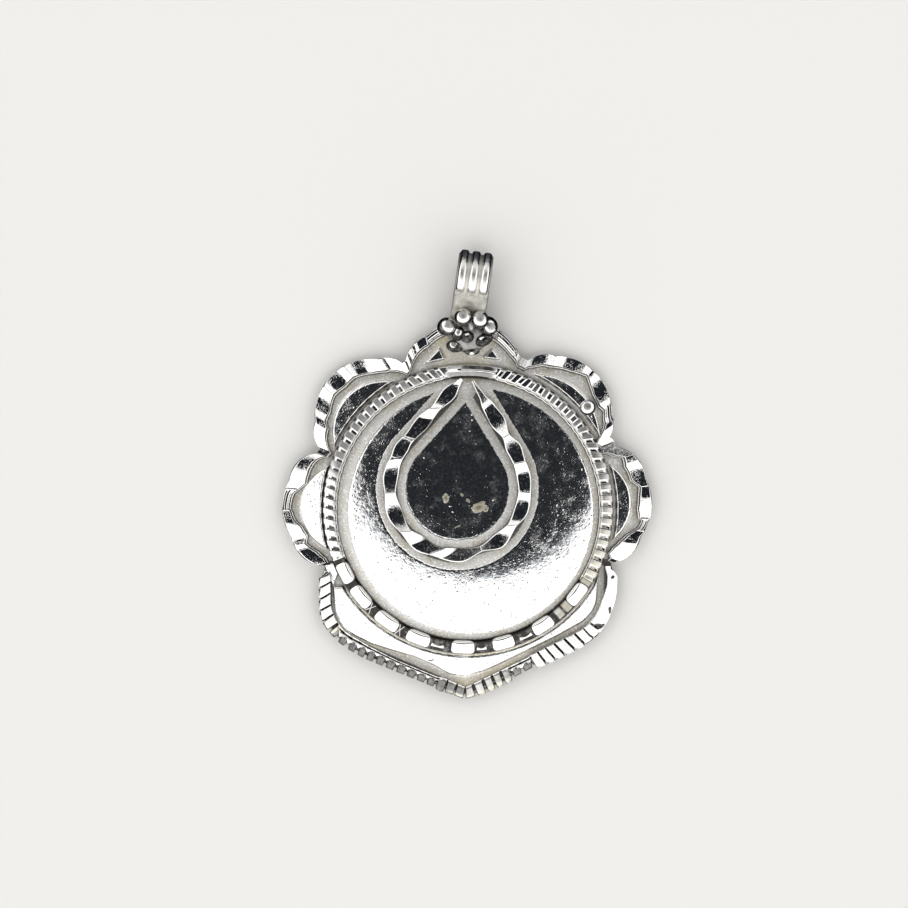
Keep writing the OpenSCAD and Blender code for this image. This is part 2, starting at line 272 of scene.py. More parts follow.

# %% [markdown]
# ## The fields' finish
# The fields of the plate and the dome are polished, and along every wire there is a strip that
# the polishing wheel never reached, matt and a little yellow. Two distances in millimetres come
# with the shape: `inside` is above zero on a polished field, and `edge` is the distance to the
# nearest wire. Close to a wire the matt strip is painted dark, a painted shade, and further from it
# painted lighter, a painted highlight. Casting pits, specks and patches of haze break up the
# mirror, and some of the pits are painted dark, a painted shade too.

# %% Field silver
def field_finish(name, residue=()):
    """Polished fields on matt ground: each colour is mixed over the last one by its own mask."""
    f = Finish(name)
    inside, edge = f.value("inside"), f.value("edge")
    polished = (inside + f.noise(2.4, 3.0) * 0.3 - 0.15).rise(-0.09, 0.11)
    stain = f.noise(0.42, 4.0, 0.6).rise(0.46, 0.62)
    matt = f.mix(stain * 0.85, FROST, YELLOWED)
    matt = f.mix(f.value("tan") * (stain * 0.35 + 0.65), matt, TAN)
    scuffs = f.noise(4.0, 3.0, 0.7)
    # Scuffs are random wear. The rise with edge is a painted highlight: the matt strip is painted lighter
    # away from the wire, towards the field's shoulder.
    matt = f.mix(scuffs.rise(0.50, 0.66) * 0.6 + edge.rise(0.3, 1.1) * 0.38, matt, BRIGHT)
    # Painted shade: close to each wire the matt strip is painted dark, where the wire's foot meets the
    # ground.
    painted_wire_shade = (edge + f.noise(3.5, 2.0) * 0.16).rise(0.34, 0.12)
    matt = f.mix(painted_wire_shade * 0.85, matt, SHADE)
    band = edge.rise(0.5, 1.8) * edge.rise(5.0, 3.0)
    haze = (f.noise(0.55, 4.0, 0.7) + band * 0.06).rise(0.50, 0.74) * polished
    mottle = f.noise(4.2, 3.0, 0.7).rise(0.46, 0.66)
    dust = mottle * (haze * 0.7 + 0.3) * polished
    specks = f.pits(3.0, 0.21) * f.noise(0.9, 2.0).rise(0.50, 0.62)
    pits_with_painted_shade = f.pits(2.1, 0.30) * f.noise(0.7, 3.0).rise(0.42, 0.54) * polished
    colour = f.mix(polished, matt, BRIGHT)
    # Painted shade: scattered pits on the polished fields are painted dark, as well as sunk a little.
    colour = f.mix(pits_with_painted_shade * 0.7, colour, SHADE)
    grain = f.noise(7.0, 2.0)
    roughness = polished * -0.40 + 0.46 + haze * 0.06 + dust * 0.13 + grain * 0.02
    film = 1 - haze * 0.025 - dust * 0.05 - polished * 0.004
    waves = f.noise(0.45, 2.0) * 0.010 + f.noise(2.2, 2.0, 0.55) * (haze * 0.007 + 0.0045)
    pits = f.pits(0.9, 0.12) * f.noise(0.6, 1.0).rise(0.50, 0.62)
    height = waves - pits * 0.020 - specks * 0.007 - pits_with_painted_shade * 0.006
    height = height + (1 - polished) * (grain + scuffs) * 0.022
    for x, y, long, short, turn in residue:
        place = f.node("ShaderNodeMapping", {"vector_type": "TEXTURE"}, {
            0: f.place(), 1: tuple((np.array([x, y, RESIDUE_Z]) + MIDDLE) / 1000),
            2: (0, 0, np.radians(turn)), 3: (long / 1000, short / 1000, 1.0)})
        far = f.node("ShaderNodeVectorMath", {"operation": "LENGTH"}, {0: place}, output=1)
        lumps = f.noise(2.6, 3.0, 0.7)
        crust = (far + lumps * 1.5).rise(1.86, 1.66)
        tone = f.mix(far.rise(0.2, 0.75), CRUST_RIM, CRUST)
        colour = f.mix(crust, colour, tone)
        roughness = roughness.most(crust * 0.8)
        film = film - crust * 0.5
        height = height + crust * (lumps * 0.10 + 0.02)
    return f.metal(colour, roughness, f.bump(height), film.most(0.0))


RESIDUE_Z = 3.15
field_silver = field_finish("field_silver")
RESIDUE = [        # x, y, half length, half width, turn
    (-2.68, 1.35, 0.36, 0.50, 10), (1.30, 0.20, 0.80, 0.50, 20), (2.15, 0.0, 0.32, 0.30, 0),
    (0.0, 1.05, 0.28, 0.16, -50), (-0.75, 1.75, 0.22, 0.13, -40), (1.6, 0.75, 0.45, 0.16, 15),
    (-1.25, -2.1, 0.42, 0.07, 25),
]
dome_silver = field_finish("dome_silver", RESIDUE)
print("field silver, and the dome's with", len(RESIDUE), "spots of residue")

# %% [markdown]
# ## The wires' finish
# Milled and bright-cut wire is polished where a tool last cut it and dull in its grooves. The
# shapes tell where: `matt` is 1 where a punch or a file left the silver grey, the painted-shade
# value is 1 where shade is painted into the colour, deep between teeth, in pits, cuts and notches
# and low at each wire's foot, and `hatch` counts the fine strokes across the wire.

# %% Wire silver
def wire_finish(name, matt_rough=0.30, speckle=0.0, tone=GREY):
    """Bright wire with grey pads and painted shade in its grooves: roughness and height are sums over the
    masks.
    """
    f = Finish(name)
    matt, groove = f.value("matt"), f.value("groove")
    dirt_and_shade_noise = f.noise(1.6, 3.0)
    strokes = f.value("hatch").wave()
    colour = f.mix(matt * (strokes * 0.16 + dirt_and_shade_noise * 0.5 + 0.6).least(1.0), BRIGHT, tone)
    colour = f.mix(f.value("warm") * dirt_and_shade_noise.rise(0.3, 0.6), colour, HONEY)
    # Painted shade: the colour is mixed towards SHADE by the painted-shade value, deeper or lighter with
    # the noise.
    colour = f.mix((groove * (dirt_and_shade_noise * 0.8 + 0.6)).least(1.0), colour, SHADE)
    roughness = matt * matt_rough + 0.055 + groove * 0.15 + dirt_and_shade_noise * 0.02
    height = f.noise(1.3, 2.0) * 0.004 + f.noise(6.0, 2.0) * 0.0012 + matt * strokes * 0.004
    height = height + matt * f.noise(5.0, 3.0) * 0.012
    if speckle:
        rough_spots = f.noise(0.8, 2.0).rise(0.40, 0.60)
        rough = f.pits(4.4, 0.36) + f.noise(5.5, 3.0, 0.7).rise(0.5, 0.7)
        height = height - rough * rough_spots * speckle
        roughness = roughness + f.noise(3.5, 3.0).rise(0.46, 0.68) * 0.14
    return f.metal(colour, roughness, f.bump(height))


cut_silver = wire_finish("cut_silver")
rim_silver = wire_finish("rim_silver", 0.26, 0.008)
bail_silver = wire_finish("bail_silver", 0.42, 0.004, BAIL_GREY)
drop_silver = wire_finish("drop_silver", 0.30, 0.0025)
print("four wire finishes")

# %% [markdown]
# ## The plate's outline
# Seen from its middle the outline is one distance for each direction, so it can be an array. A
# ray leaves a petal's circle at c·cos(a) + sqrt(r² − c²·sin²(a)), where c is how far the
# circle's middle lies and a the angle to it. The shield below is drawn by its round corners and
# straight sides, and turned into a distance for each direction by interpolation.

# %% The outline
SHIELD_HALF, SHIELD_TIP, SHIELD_TOP = 18.15, 23.3, -6.6
CORNER_R, TIP_R, TIP_X = 6.0, 2.2, -0.3
CORNER_Y = {-1: -11.8, 1: -10.9}


def shield_half(side, inset, n=100):
    """Half of the shield's outline from its tip up: an arc, a straight line, an arc, a straight line."""
    corner = np.array([SHIELD_HALF - CORNER_R, CORNER_Y[side]])
    tip = np.array([side * TIP_X, TIP_R - SHIELD_TIP])
    way = corner - tip
    turn = np.degrees(np.arctan2(way[1], way[0]) - np.arccos((TIP_R - CORNER_R) / np.hypot(*way)))
    a, b = np.linspace(-90, turn, n), np.linspace(turn, 0, n)
    end = corner + [CORNER_R - inset, 0]
    up = np.stack([np.full(n, end[0]), np.linspace(end[1], SHIELD_TOP, n)], -1)
    p = np.concatenate([tip + (TIP_R - inset) * unit(a), corner + (CORNER_R - inset) * unit(b), up])
    return p * [side, 1]


def shield_line(inset, step=0.02):
    """The whole outline from the left top round the tip to the right top, at even steps."""
    p = np.concatenate([shield_half(-1, inset)[::-1], shield_half(1, inset)])
    s = np.concatenate([[0], np.cumsum(np.hypot(*np.diff(p, axis=0).T))])
    at = np.linspace(0, s[-1], int(s[-1] / step))
    return at, np.stack([np.interp(at, s, p[:, 0]), np.interp(at, s, p[:, 1])], -1)


def petal_centre(name):
    """The middle of a petal's circle: its reach less its own radius, in its direction."""
    direction, reach, r, _ = PETALS[name]
    return (reach - r) * unit(direction)


SHOULDERS = [      # x, y and radius of circles that fill out the petals' shoulders
    (17.4, -2.75, 3.9), (17.6, 3.4, 4.3), (14.6, 10.6, 3.35), (9.6, 15.4, 3.65), (-3.9, 17.6, 3.85),
    (-10, 15.2, 3.4), (-15.4, 9.6, 3.6), (-18.3, 3.2, 3.7), (-17.3, -2.7, 4.45)]


def outline(degrees, inset=0.0):
    """Distance from the middle to the plate's edge: the farthest of all circles and the shield."""
    circles = [(petal_centre(k), PETALS[k][2] - inset) for k in PETALS]
    circles += [(np.array([x, y]), r - 0.05 - inset) for x, y, r in SHOULDERS]
    circles += [((WEB_REACH - WEB_R) * unit(a), WEB_R - inset) for a in WEBS.values()]
    far = np.full(degrees.shape, RING_OUT)
    for c, r in circles:
        reach, a = np.hypot(*c), np.radians(degrees) - np.arctan2(c[1], c[0])
        root = r ** 2 - (reach * np.sin(a)) ** 2
        hit = (root > 0) & (np.cos(a) > 0)
        far = np.where(hit, np.maximum(far, reach * np.cos(a) + np.sqrt(np.maximum(root, 0))), far)
    line = shield_line(inset + 0.38)[1]
    turn = np.degrees(np.arctan2(line[:, 1], line[:, 0])) % 360
    radius = np.hypot(*line.T)
    inside = (degrees % 360 > turn.min()) & (degrees % 360 < turn.max())
    order = np.argsort(turn)
    return np.where(inside, np.maximum(far, np.interp(degrees % 360, turn[order], radius[order])), far)


RIM_WIDTHS = {     # direction and width in mm
    "right": [(-20.3, .5), (-19, 1.0), (-17.5, 2.0), (-15, 2.3), (-12, 2.1), (-9, 1.5), (-7.2, 1.0),
              (-6, .75), (-4, .7), (-3.2, 1.2), (0, 1.6), (4, 1.45), (7.3, 1.05), (10, 1.75), (15, 1.9),
              (18.3, 1.2), (20, 1.8), (24.4, 1.75)],
    "upper_right": [(24.4, 1.6), (28, 1.8), (30, 1.45), (32, 1.15), (36, 1.1), (38, 1.6), (42, 1.75),
                    (45, 1.45), (48.2, .9), (53, 1.4), (57, 1.45), (62, 1.4), (65, 1.5), (67.5, 1.1),
                    (69.6, 1.1)],
    "top": [(69.6, 1.1), (72, 1.0), (75, 1.3), (80, 1.3), (100, 1.1), (105, 1.15), (110, 1.35),
            (113.2, 1.4)],
    "upper_left": [(113.2, 1.5), (117, 1.7), (120, 1.65), (125, 1.95), (131, 1.75), (135, 2.0),
                   (139.8, 1.65), (145, 1.9), (148.6, 1.45), (150, 1.7), (155, 1.55), (159.6, 1.2)],
    "left": [(159.6, 1.2), (162, 1.35), (165, 1.75), (168, 2.0), (171, 2.0), (173.6, 1.45), (175, 1.0),
             (180, .8), (181, 1.0), (184, 1.2), (186, 1.7), (190, 1.7), (192, 1.3), (194, 1.6),
             (196, 1.9), (199, 1.7), (201, 1.0)],
}


def rim_inner(degrees):
    """Distance from the middle to the rims' inner side: the outline's less the rim's width."""
    inner = np.zeros(degrees.shape)
    for widths in RIM_WIDTHS.values():
        at, width = np.array(widths).T
        turned = (degrees + 25) % 360 - 25
        here = (turned >= at[0]) & (turned <= at[-1])
        inner = np.where(here, outline(degrees) - np.interp(turned, at, width), inner)
    return inner


theta = np.linspace(0, 360, 1060, endpoint=False)
edge = outline(theta, 0.14)
print("outline from", edge.min().round(1), "to", edge.max().round(1), "mm")

# %% [markdown]
# ## The plate
# One sheet, flat and plain behind. In front its raised fields stay clear of the wires: a lens
# shape in four petals, two small triangles in the top one, the shield's long field, and a small
# facet at the shield's left end. How far a point lies inside a field is the least of its
# distances to the field's sides, and the surface climbs over the first third of a millimetre of
# that distance.

# %% The plate
LENSES = [         # direction, reach, radius of the outer arc, distance of the straight side
    (137.5, 20.3, 6.3, 18.05), (46.0, 19.9, 7.9, 18.35), (2.8, 20.05, 5.6, 18.15),
    (179.5, 20.5, 5.5, 17.85)]
BORDER_W = 1.38    # from the shield's edge to the inner side of its border
SMALL_FIELDS = [   # corners of two triangles in the top petal and of a facet at the shield's left end
    [(-5.35, 17.75), (-2.82, 18.33), (-3.45, 19.75)], [(1.8, 18.48), (3.95, 18.22), (3.0, 19.65)],
    [(-16.5, -9.45), (-15.85, -7.9), (-16.4, -6.6), (-17.6, -6.9)]]


def inside_corners(x, y, corners):
    """Distance inside straight sides: the least of the distances to each of them."""
    c = np.array(corners)
    way = np.roll(c, -1, 0) - c
    way /= np.hypot(*way.T)[:, None]
    gaps = [(y - c[k, 1]) * way[k, 0] - (x - c[k, 0]) * way[k, 1] for k in range(len(c))]
    return np.minimum.reduce(gaps)


def shield_gap(x, y):
    """Distance in mm from the border's inner side: the least to its points, negative outside it."""
    gap = np.full(x.shape, 99.0)
    for p in shield_line(BORDER_W, 0.25)[1]:
        gap = np.minimum(gap, np.hypot(x - p[0], y - p[1]))
    limit = np.interp(np.arctan2(y, x) % (2 * np.pi), *shield_reach)
    return np.where((np.hypot(x, y) < limit) & (y < SHIELD_TOP - 0.3), gap, -gap)


def field_inside(x, y, gap):
    """Distance in mm inside a raised field: the least over its sides, and the most over fields."""
    r = np.hypot(x, y)
    turned = np.degrees(np.arctan2(y, x)) % 360
    margin = np.interp(turned, [198, 204, 210, 225, 234, 241, 250, 258, 264, 272, 305, 318, 335],
                       [0.0, 0.0, 0.25, 0.6, 0.4, 0.65, 1.05, 1.05, 0.7, 0.9, 0.95, 1.2, 0.7])
    rounding = 0.45 * np.exp(-((x + 0.3) / 1.7) ** 2) * (y < -15)
    left_end = np.where(x < -10, -9.45 - y, 9.0)
    best = np.minimum(np.minimum(gap - margin - rounding, r - RING_OUT - 0.27), left_end)
    for direction, reach, own, side in LENSES:
        c = (reach - own) * unit(direction)
        best = np.maximum(best, np.minimum(own - np.hypot(x - c[0], y - c[1]), r - side))
    for corners in SMALL_FIELDS:
        best = np.maximum(best, 2 * inside_corners(x, y, corners))
    return best


inner = shield_line(BORDER_W, 0.05)[1]
turn = np.arctan2(inner[:, 1], inner[:, 0]) % (2 * np.pi)
order = np.argsort(turn)
shield_reach = (turn[order], np.hypot(*inner.T)[order])
print("the border is", BORDER_W, "mm wide")

# %% [markdown]
# ## The sheet, from its middle to its back
# For each direction the points run outwards over the fields, round the upper edge, and back
# under the sheet. `near` is about the distance to the nearest wire, and `filled` is metal that
# lies against the ring's outer side in the shield.

# %% The sheet
SHEET_START, ROUNDING = 17.0, 0.12
share = np.linspace(0, 1, 60)
radius = SHEET_START + share[None, :] * (edge[:, None] - ROUNDING - SHEET_START)
ux, uy = np.cos(np.radians(theta))[:, None], np.sin(np.radians(theta))[:, None]
gap = shield_gap(radius * ux, radius * uy)
inside = field_inside(radius * ux, radius * uy, gap)
petal_gap = rim_inner(theta)[:, None] - radius - 0.3
near = np.minimum(2.2 * (radius - RING_OUT) + 0.05, np.maximum(petal_gap, gap))
turned = theta[:, None]
side = (turned + 60) % 360 - 60
gentle = 0.05 * ease((side + 25) / 8) * ease((22 - side) / 5)
slope = FIELD_H - (FIELD_SLOPE - gentle) * (radius - RING_OUT)
filled = 0.65 * ease((RING_OUT + 0.5 - radius) / 0.1)
filled = filled * ease((turned - 212) / 4) * ease((331 - turned) / 4)
dent_x, dent_y = radius * ux + 4.5, radius * uy + 18.4
dent = 0.05 * np.exp(-(dent_x / 0.6) ** 2 - ((dent_y - 0.3 * dent_x) / 0.14) ** 2)
top = PLATE_T + np.maximum(ease(inside / 0.3 + 0.35), filled) * np.maximum(slope, -0.35) - dent
bend = np.radians(np.linspace(0, 90, 5))
round_r = edge[:, None] - ROUNDING + ROUNDING * np.sin(bend)
round_z = PLATE_T - ROUNDING + ROUNDING * np.cos(bend) + 0 * round_r
under_r = np.stack([edge, edge - 0.15, edge - 0.3, edge - 0.6, 0.02 + 0 * edge], -1)
under_z = np.array([0.15, 0.0, 0.0, 0.0, 0.0]) + 0 * under_r
middle_r, middle_z = 0.02 + 0 * edge[:, None], PLATE_T + 0 * edge[:, None]
all_r = np.hstack([middle_r, radius, round_r, under_r])
all_z = np.hstack([middle_z, top, round_z, under_z])
all_inside = np.hstack([middle_r - 5, inside, round_r * 0 - 1, under_r * 0 - 1])
all_near = np.hstack([middle_r, near, round_r * 0 + 0.2, under_r * 0 + 2])
grid = np.stack([all_r * ux, all_r * uy, all_z], -1)
STAINED = [        # direction and share of a warm stain
    (80, 0), (82, 1), (100, 1), (103, 0), (222, 0), (227, .9), (236, .9), (240, .2), (262, .2),
    (268, .8), (290, .7), (300, .3), (330, 0)]
tan = np.interp(theta, *np.array(STAINED).T)[:, None] * (all_z > 0.5)
values = {"inside": all_inside, "edge": all_near, "tan": tan}
piece("plate_sheet", [(grid, True, False, values)], "plate", field_silver)

# %% [markdown]
# ## The dome
# The dome is a shallow cap of a large sphere, which makes it a convex mirror: it gathers the
# whole room into its disc, the dark opening above in the middle and the bright walls round it.
# Its two polished fields, inside and outside the teardrop, stand a little above the matt
# strips. For a point seen from the teardrop's round end, the distance to the rim is
# measured to the circle, or within the flanks' angle to the straight flank.

# %% The dome
DROP_AXIS = DROP_APEX - DROP_CENTRE
DROP_TILT = np.degrees(np.arctan2(DROP_AXIS[1], DROP_AXIS[0]))
DROP_FLANK = np.degrees(np.arccos(DROP_R / np.hypot(*DROP_AXIS)))


def drop_offset(x, y):
    """Signed distance in mm from the teardrop's middle line, above zero outside it.

    To the circle it is the distance from its middle less its radius, and to a flank the part of
    that distance along the flank's normal, less the same radius.
    """
    u, v = x - DROP_CENTRE[0], y - DROP_CENTRE[1]
    along = u * unit(DROP_TILT)[0] + v * unit(DROP_TILT)[1]
    across = np.abs(v * unit(DROP_TILT)[0] - u * unit(DROP_TILT)[1])
    flank = along * unit(DROP_FLANK)[0] + across * unit(DROP_FLANK)[1] - DROP_R
    near = np.degrees(np.arctan2(across, along)) < DROP_FLANK
    return np.where(near, flank, np.hypot(u, v) - DROP_R)


def dome_inside(x, y):
    """Distance in mm inside the dome's polished fields: the least over the sides of each."""
    rim = 15.02 - np.hypot(x - 0.35, y + 0.2)
    off = drop_offset(x, y)
    return np.maximum(np.minimum(rim, off - 1.66), -off - 1.92)


turns = np.linspace(0, 360, 560, endpoint=False)
radius = np.linspace(0.02, DOME_R, 132)[None, :] + 0 * turns[:, None]
x, y = radius * unit(turns)[:, :1], radius * unit(turns)[:, 1:]
inside = dome_inside(x, y)
z = dome_z(x, y) - 0.03 + 0.03 * ease(inside / 0.4 + 0.4)
x, y = (np.hstack([c, c[:, -1:], c[:, :1]]) for c in (x, y))
level = np.full((len(turns), 2), PLATE_T)
z = np.hstack([z, level])
inside = np.hstack([inside, inside[:, -1:], inside[:, -1:]])
off = drop_offset(x, y)
about = np.degrees(np.arctan2(y - DROP_CENTRE[1], x - DROP_CENTRE[0])) % 360
# Ground that the rim leaves bare, below the teardrop and at its point, counts as far from a wire, so the
# painted shade along the wires stays off it.
bared = 0.6 * np.exp(-((about - 290) / 13) ** 2) * (off > 0) + np.clip(y - 13.6, 0, 2)
near = np.minimum(np.abs(off) - 0.68 + bared, 16.1 - np.hypot(x, y))
values = {"inside": inside, "edge": near}
grid = np.stack([x, y, z], -1)
piece("dome", [(grid, True, False, values)], "medallion", dome_silver)

# %% [markdown]
# ## A wire carried along a path
# Every wire has the same kind of section: a crown over steep walls. In the section the offset d
# is w/2·s and the height h·(1 − |s|^p)^(1/p), a superellipse, which is flatter on top for a
# larger p. A cutter then takes off all that stands above its own surface, so the height is the
# lesser of crown and cut.

# %% Crown and wire
def crown(half_w, height, power=3.0, samples=24):
    """Offsets w/2·s and heights h·(1 − |s|^p)^(1/p), as two arrays of stations by samples."""
    s = np.sin(np.linspace(-np.pi / 2, np.pi / 2, samples))
    return half_w[:, None] * s, height[:, None] * (1 - np.abs(s) ** power) ** (1 / power)


def wire_grid(path, out, d, z, floor, deep=0.15):
    """Points of a wire: path + outward direction times d, at the floor under each point plus z."""
    p = path[:, None, :] + out[:, None, :] * d[:, :, None]
    ground = floor(p[..., 0], p[..., 1])
    foot = np.stack([p[:, -1, 0], p[:, -1, 1], ground[:, -1] - deep], -1)[:, None]
    foot2 = np.stack([p[:, 0, 0], p[:, 0, 1], ground[:, 0] - deep], -1)[:, None]
    return np.concatenate([np.dstack([p, ground + z]), foot, foot2], 1)


def pad(values):
    """Repeats each row's last and first value for the two points at the wire's foot."""
    return np.hstack([values, values[:, -1:], values[:, :1]])


print("wires ready")

# %% [markdown]
# ## Facets that mirror the opening
# Bright-cut work is a row of small mirrors. Over the pendant the tent has one dark opening, and
# a facet shows it only while it is tipped to within 12.4 degrees of the opening's middle. So
# each facet is written down as the light sees it: places along the wire, and at each a level.
# Between -1 and 1 the facet is dark, beyond them bright. The slope there is mid + level·half,
# where mid and half follow from the wire's direction and from how its ground is tipped, and the
# height is the sum of the slopes. A level that rises makes a hollow, one that falls a hill.

# %% Facets
OPENING, OPENING_R = np.array([1.0, 5.2]), 12.4
LEAST = 0.22


def cut_heights(v, place, way, tip, facets, top, roll=0.0):
    """Height of the cuts: the sum of slope times step along v, each facet's highest point at top.

    Also gives the slope across the wire, in degrees, of cuts rolled towards the opening by that
    share. The height stays above LEAST, so that no cut goes through the wire.
    """
    off = OPENING - tip
    mid = -(off * way).sum(1)
    beside = off[:, 0] * way[:, 1] - off[:, 1] * way[:, 0]
    half = 0.9 * np.sqrt(np.maximum(OPENING_R ** 2 - ((1 - roll) * beside) ** 2, 9.0))
    height = np.full(v.shape, top)
    for stops in facets:
        at, level = np.array(stops).T
        here = (place >= at[0]) & (place <= at[-1])
        slope = np.interp(place[here], at, level) * half[here] + mid[here]
        rise = np.concatenate([[0], np.cumsum(np.tan(np.radians(slope[1:])) * np.diff(v[here]))])
        height[here] = top + rise - rise.max()
    return np.maximum(height, LEAST), -roll * beside


def lengths(path):
    """Distance along a path at each of its points."""
    return np.concatenate([[0], np.cumsum(np.hypot(*np.diff(path, axis=0).T))])


print("a facet is dark within", OPENING_R, "degrees of", OPENING.tolist())

# %% [markdown]
# ## The teardrop's rim
# A half-round wire bent into a drop, with thirteen hollows cut into it, each 3 to 6 mm long.
# Their lengths are read along the wire from its left end at the point. The wire thins towards
# both ends and stands on the dome.

# %% The teardrop's rim
OPEN_POINT = 0.75   # how far each end stops short of the point
side = np.sqrt(np.hypot(*DROP_AXIS) ** 2 - DROP_R ** 2) - OPEN_POINT
arc = np.radians(360 - 2 * DROP_FLANK) * DROP_R
v = np.linspace(0, 2 * side + arc, 1300)
facing = DROP_TILT + DROP_FLANK + np.degrees(np.clip(v - side, 0, arc) / DROP_R)
past = np.where(v < side, v - side, np.maximum(v - side - arc, 0))
path = DROP_CENTRE + DROP_R * unit(facing) + past[:, None] * unit(facing + 90)
CUT_LENGTHS = [4.9, 5.0, 2.9, 4.3, 5.2, 4.6, 5.8, 5.0, 4.5, 3.7, 3.7, 4.4, 3.6]
ridges = np.cumsum([0] + CUT_LENGTHS) * v[-1] / sum(CUT_LENGTHS)
DROP_FACETS = [    # whole numbers are the ridges, and the level is the second of each pair
    [(0, -1.4), (.08, -1), (.97, 1), (1, 1.2)], [(1, -1.9), (1.43, -1), (2, 1.05)],
    [(2, -1.4), (2.1, -1), (3, 1.05)], [(3, -1.7), (3.33, -1), (4, 1.05)],
    [(4, -1.6), (4.35, -1), (4.85, 0.95), (5, 1.1)], [(5, -1.6), (5.5, -1), (6, 1.05)],
    [(6, -1.6), (6.55, -1), (7, .5)], [(7, -.9), (7.75, 1), (8, 1.5)],
    [(8, -1.4), (8.12, -1), (8.75, 1), (9, 1.6)], [(9, -1.2), (9.06, -1), (9.62, 1), (10, 1.7)],
    [(10, -1.05), (10.7, 1), (11, 1.4)], [(11, -1.7), (11.35, -1), (12, 1.0)],
    [(12, -1.7), (12.2, -1), (12.85, 0.9), (13, 1)],
]
DROP_SHAPE = [     # place, half width, shift outwards, leaning of the cuts, haze
    (0, .30, .35, .10, 0), (.5, .82, .30, .10, 0), (1, .50, .33, .12, .2), (1.5, .86, .33, .10, 0),
    (2, .62, .30, .08, .2), (2.5, .82, .20, .10, 0), (3, .72, .10, .12, 0), (3.5, .87, .06, .03, 0),
    (4, .66, 0, 0, .6), (4.5, .93, -.02, -.03, 0), (5, .56, -.05, -.10, 1), (5.5, .92, -.10, -.15, 0),
    (6, .62, -.15, -.18, .6), (6.5, .84, -.12, -.20, .5), (7, .34, -.35, 0, 1), (7.5, .86, -.10, .12, .1),
    (8, .48, -.20, .10, .5), (8.5, .82, 0, .04, 0), (9, .72, 0, 0, 0), (9.5, .80, 0, -.04, .1),
    (10, .74, 0, -.04, 0), (10.5, .90, .20, 0, .1), (11, .46, .18, 0, .6), (11.5, .93, .24, 0, 0),
    (12, .70, .20, .03, 0), (12.4, .40, .20, 0, .8), (13, .28, .20, 0, .9),
]
print(len(CUT_LENGTHS), "hollows over", round(float(v[-1]), 1), "mm of wire")

# %% [markdown]
# ## Cutting the teardrop's rim
# The table of shapes is read smoothly between its rows. The cuts lean a little across the wire,
# and roll towards the opening, so that each dark stretch reaches from side to side.

# %% The teardrop's cuts
place = np.interp(v, ridges, np.arange(len(ridges)))
dome_tip = np.degrees(path / DOME_SPHERE)
cuts, sideways = cut_heights(v, place, unit(facing + 90), dome_tip, DROP_FACETS, 0.72, 0.85)
at, *columns = np.array(DROP_SHAPE).T
k = np.clip(np.searchsorted(at, place) - 1, 0, len(at) - 2)
share = ease((place - at[k]) / (at[k + 1] - at[k]))
half_w, shift, lean, haze = (c[k] + (c[k + 1] - c[k]) * share for c in columns)
ends = ease(v / 3.5 + 0.35) * ease((v[-1] - v) / 5 + 0.18)
half_w = (half_w + 0.05) * (0.5 + 0.5 * ends)
d, z = crown(half_w, 0.85 + 0 * v, 5.0, 28)
leaning = place[:, None] - lean[:, None] * d / half_w[:, None]
cuts = np.interp(leaning, place, cuts)
bevel = np.clip((np.abs(d) - half_w[:, None]) / 0.15 + 1, 0, 1)
rolled = np.tan(np.radians(sideways))[:, None] * d
drop_z = np.minimum(z, cuts + rolled - 0.045 * d ** 2 - 0.045 * bevel ** 2)
grid = wire_grid(path + shift[:, None] * unit(facing), unit(facing), d, drop_z, dome_z)
# Painted shade: where a cut goes deep, down near the dome, the wire is painted dark.
steep = ease(1 - drop_z / 0.3)
values = {"groove": pad(steep), "matt": pad(0.5 * haze[:, None] + 0 * steep)}
piece("drop_rim", [(grid, False, True, values)], "teardrop_rim", drop_silver)

# %% [markdown]
# ## The petals' rims
# Each petal has its own ribbon, cut in the same way, on ground that falls away from the ring.
# It runs from the drawn-out metal on one side of the petal to that on the other, and its width
# changes from facet to facet. Places are directions seen from the medallion's middle.

# %% The petals' rims
GROUND_FALL, GROUND_TIP = 0.10, 5.7     # millimetres to a millimetre, and the same in degrees


def ground(x, y):
    """The plate's ground: its thickness less a fall that grows with the distance from the middle."""
    return PLATE_T - 0.02 - GROUND_FALL * (np.hypot(x, y) - 19.5)


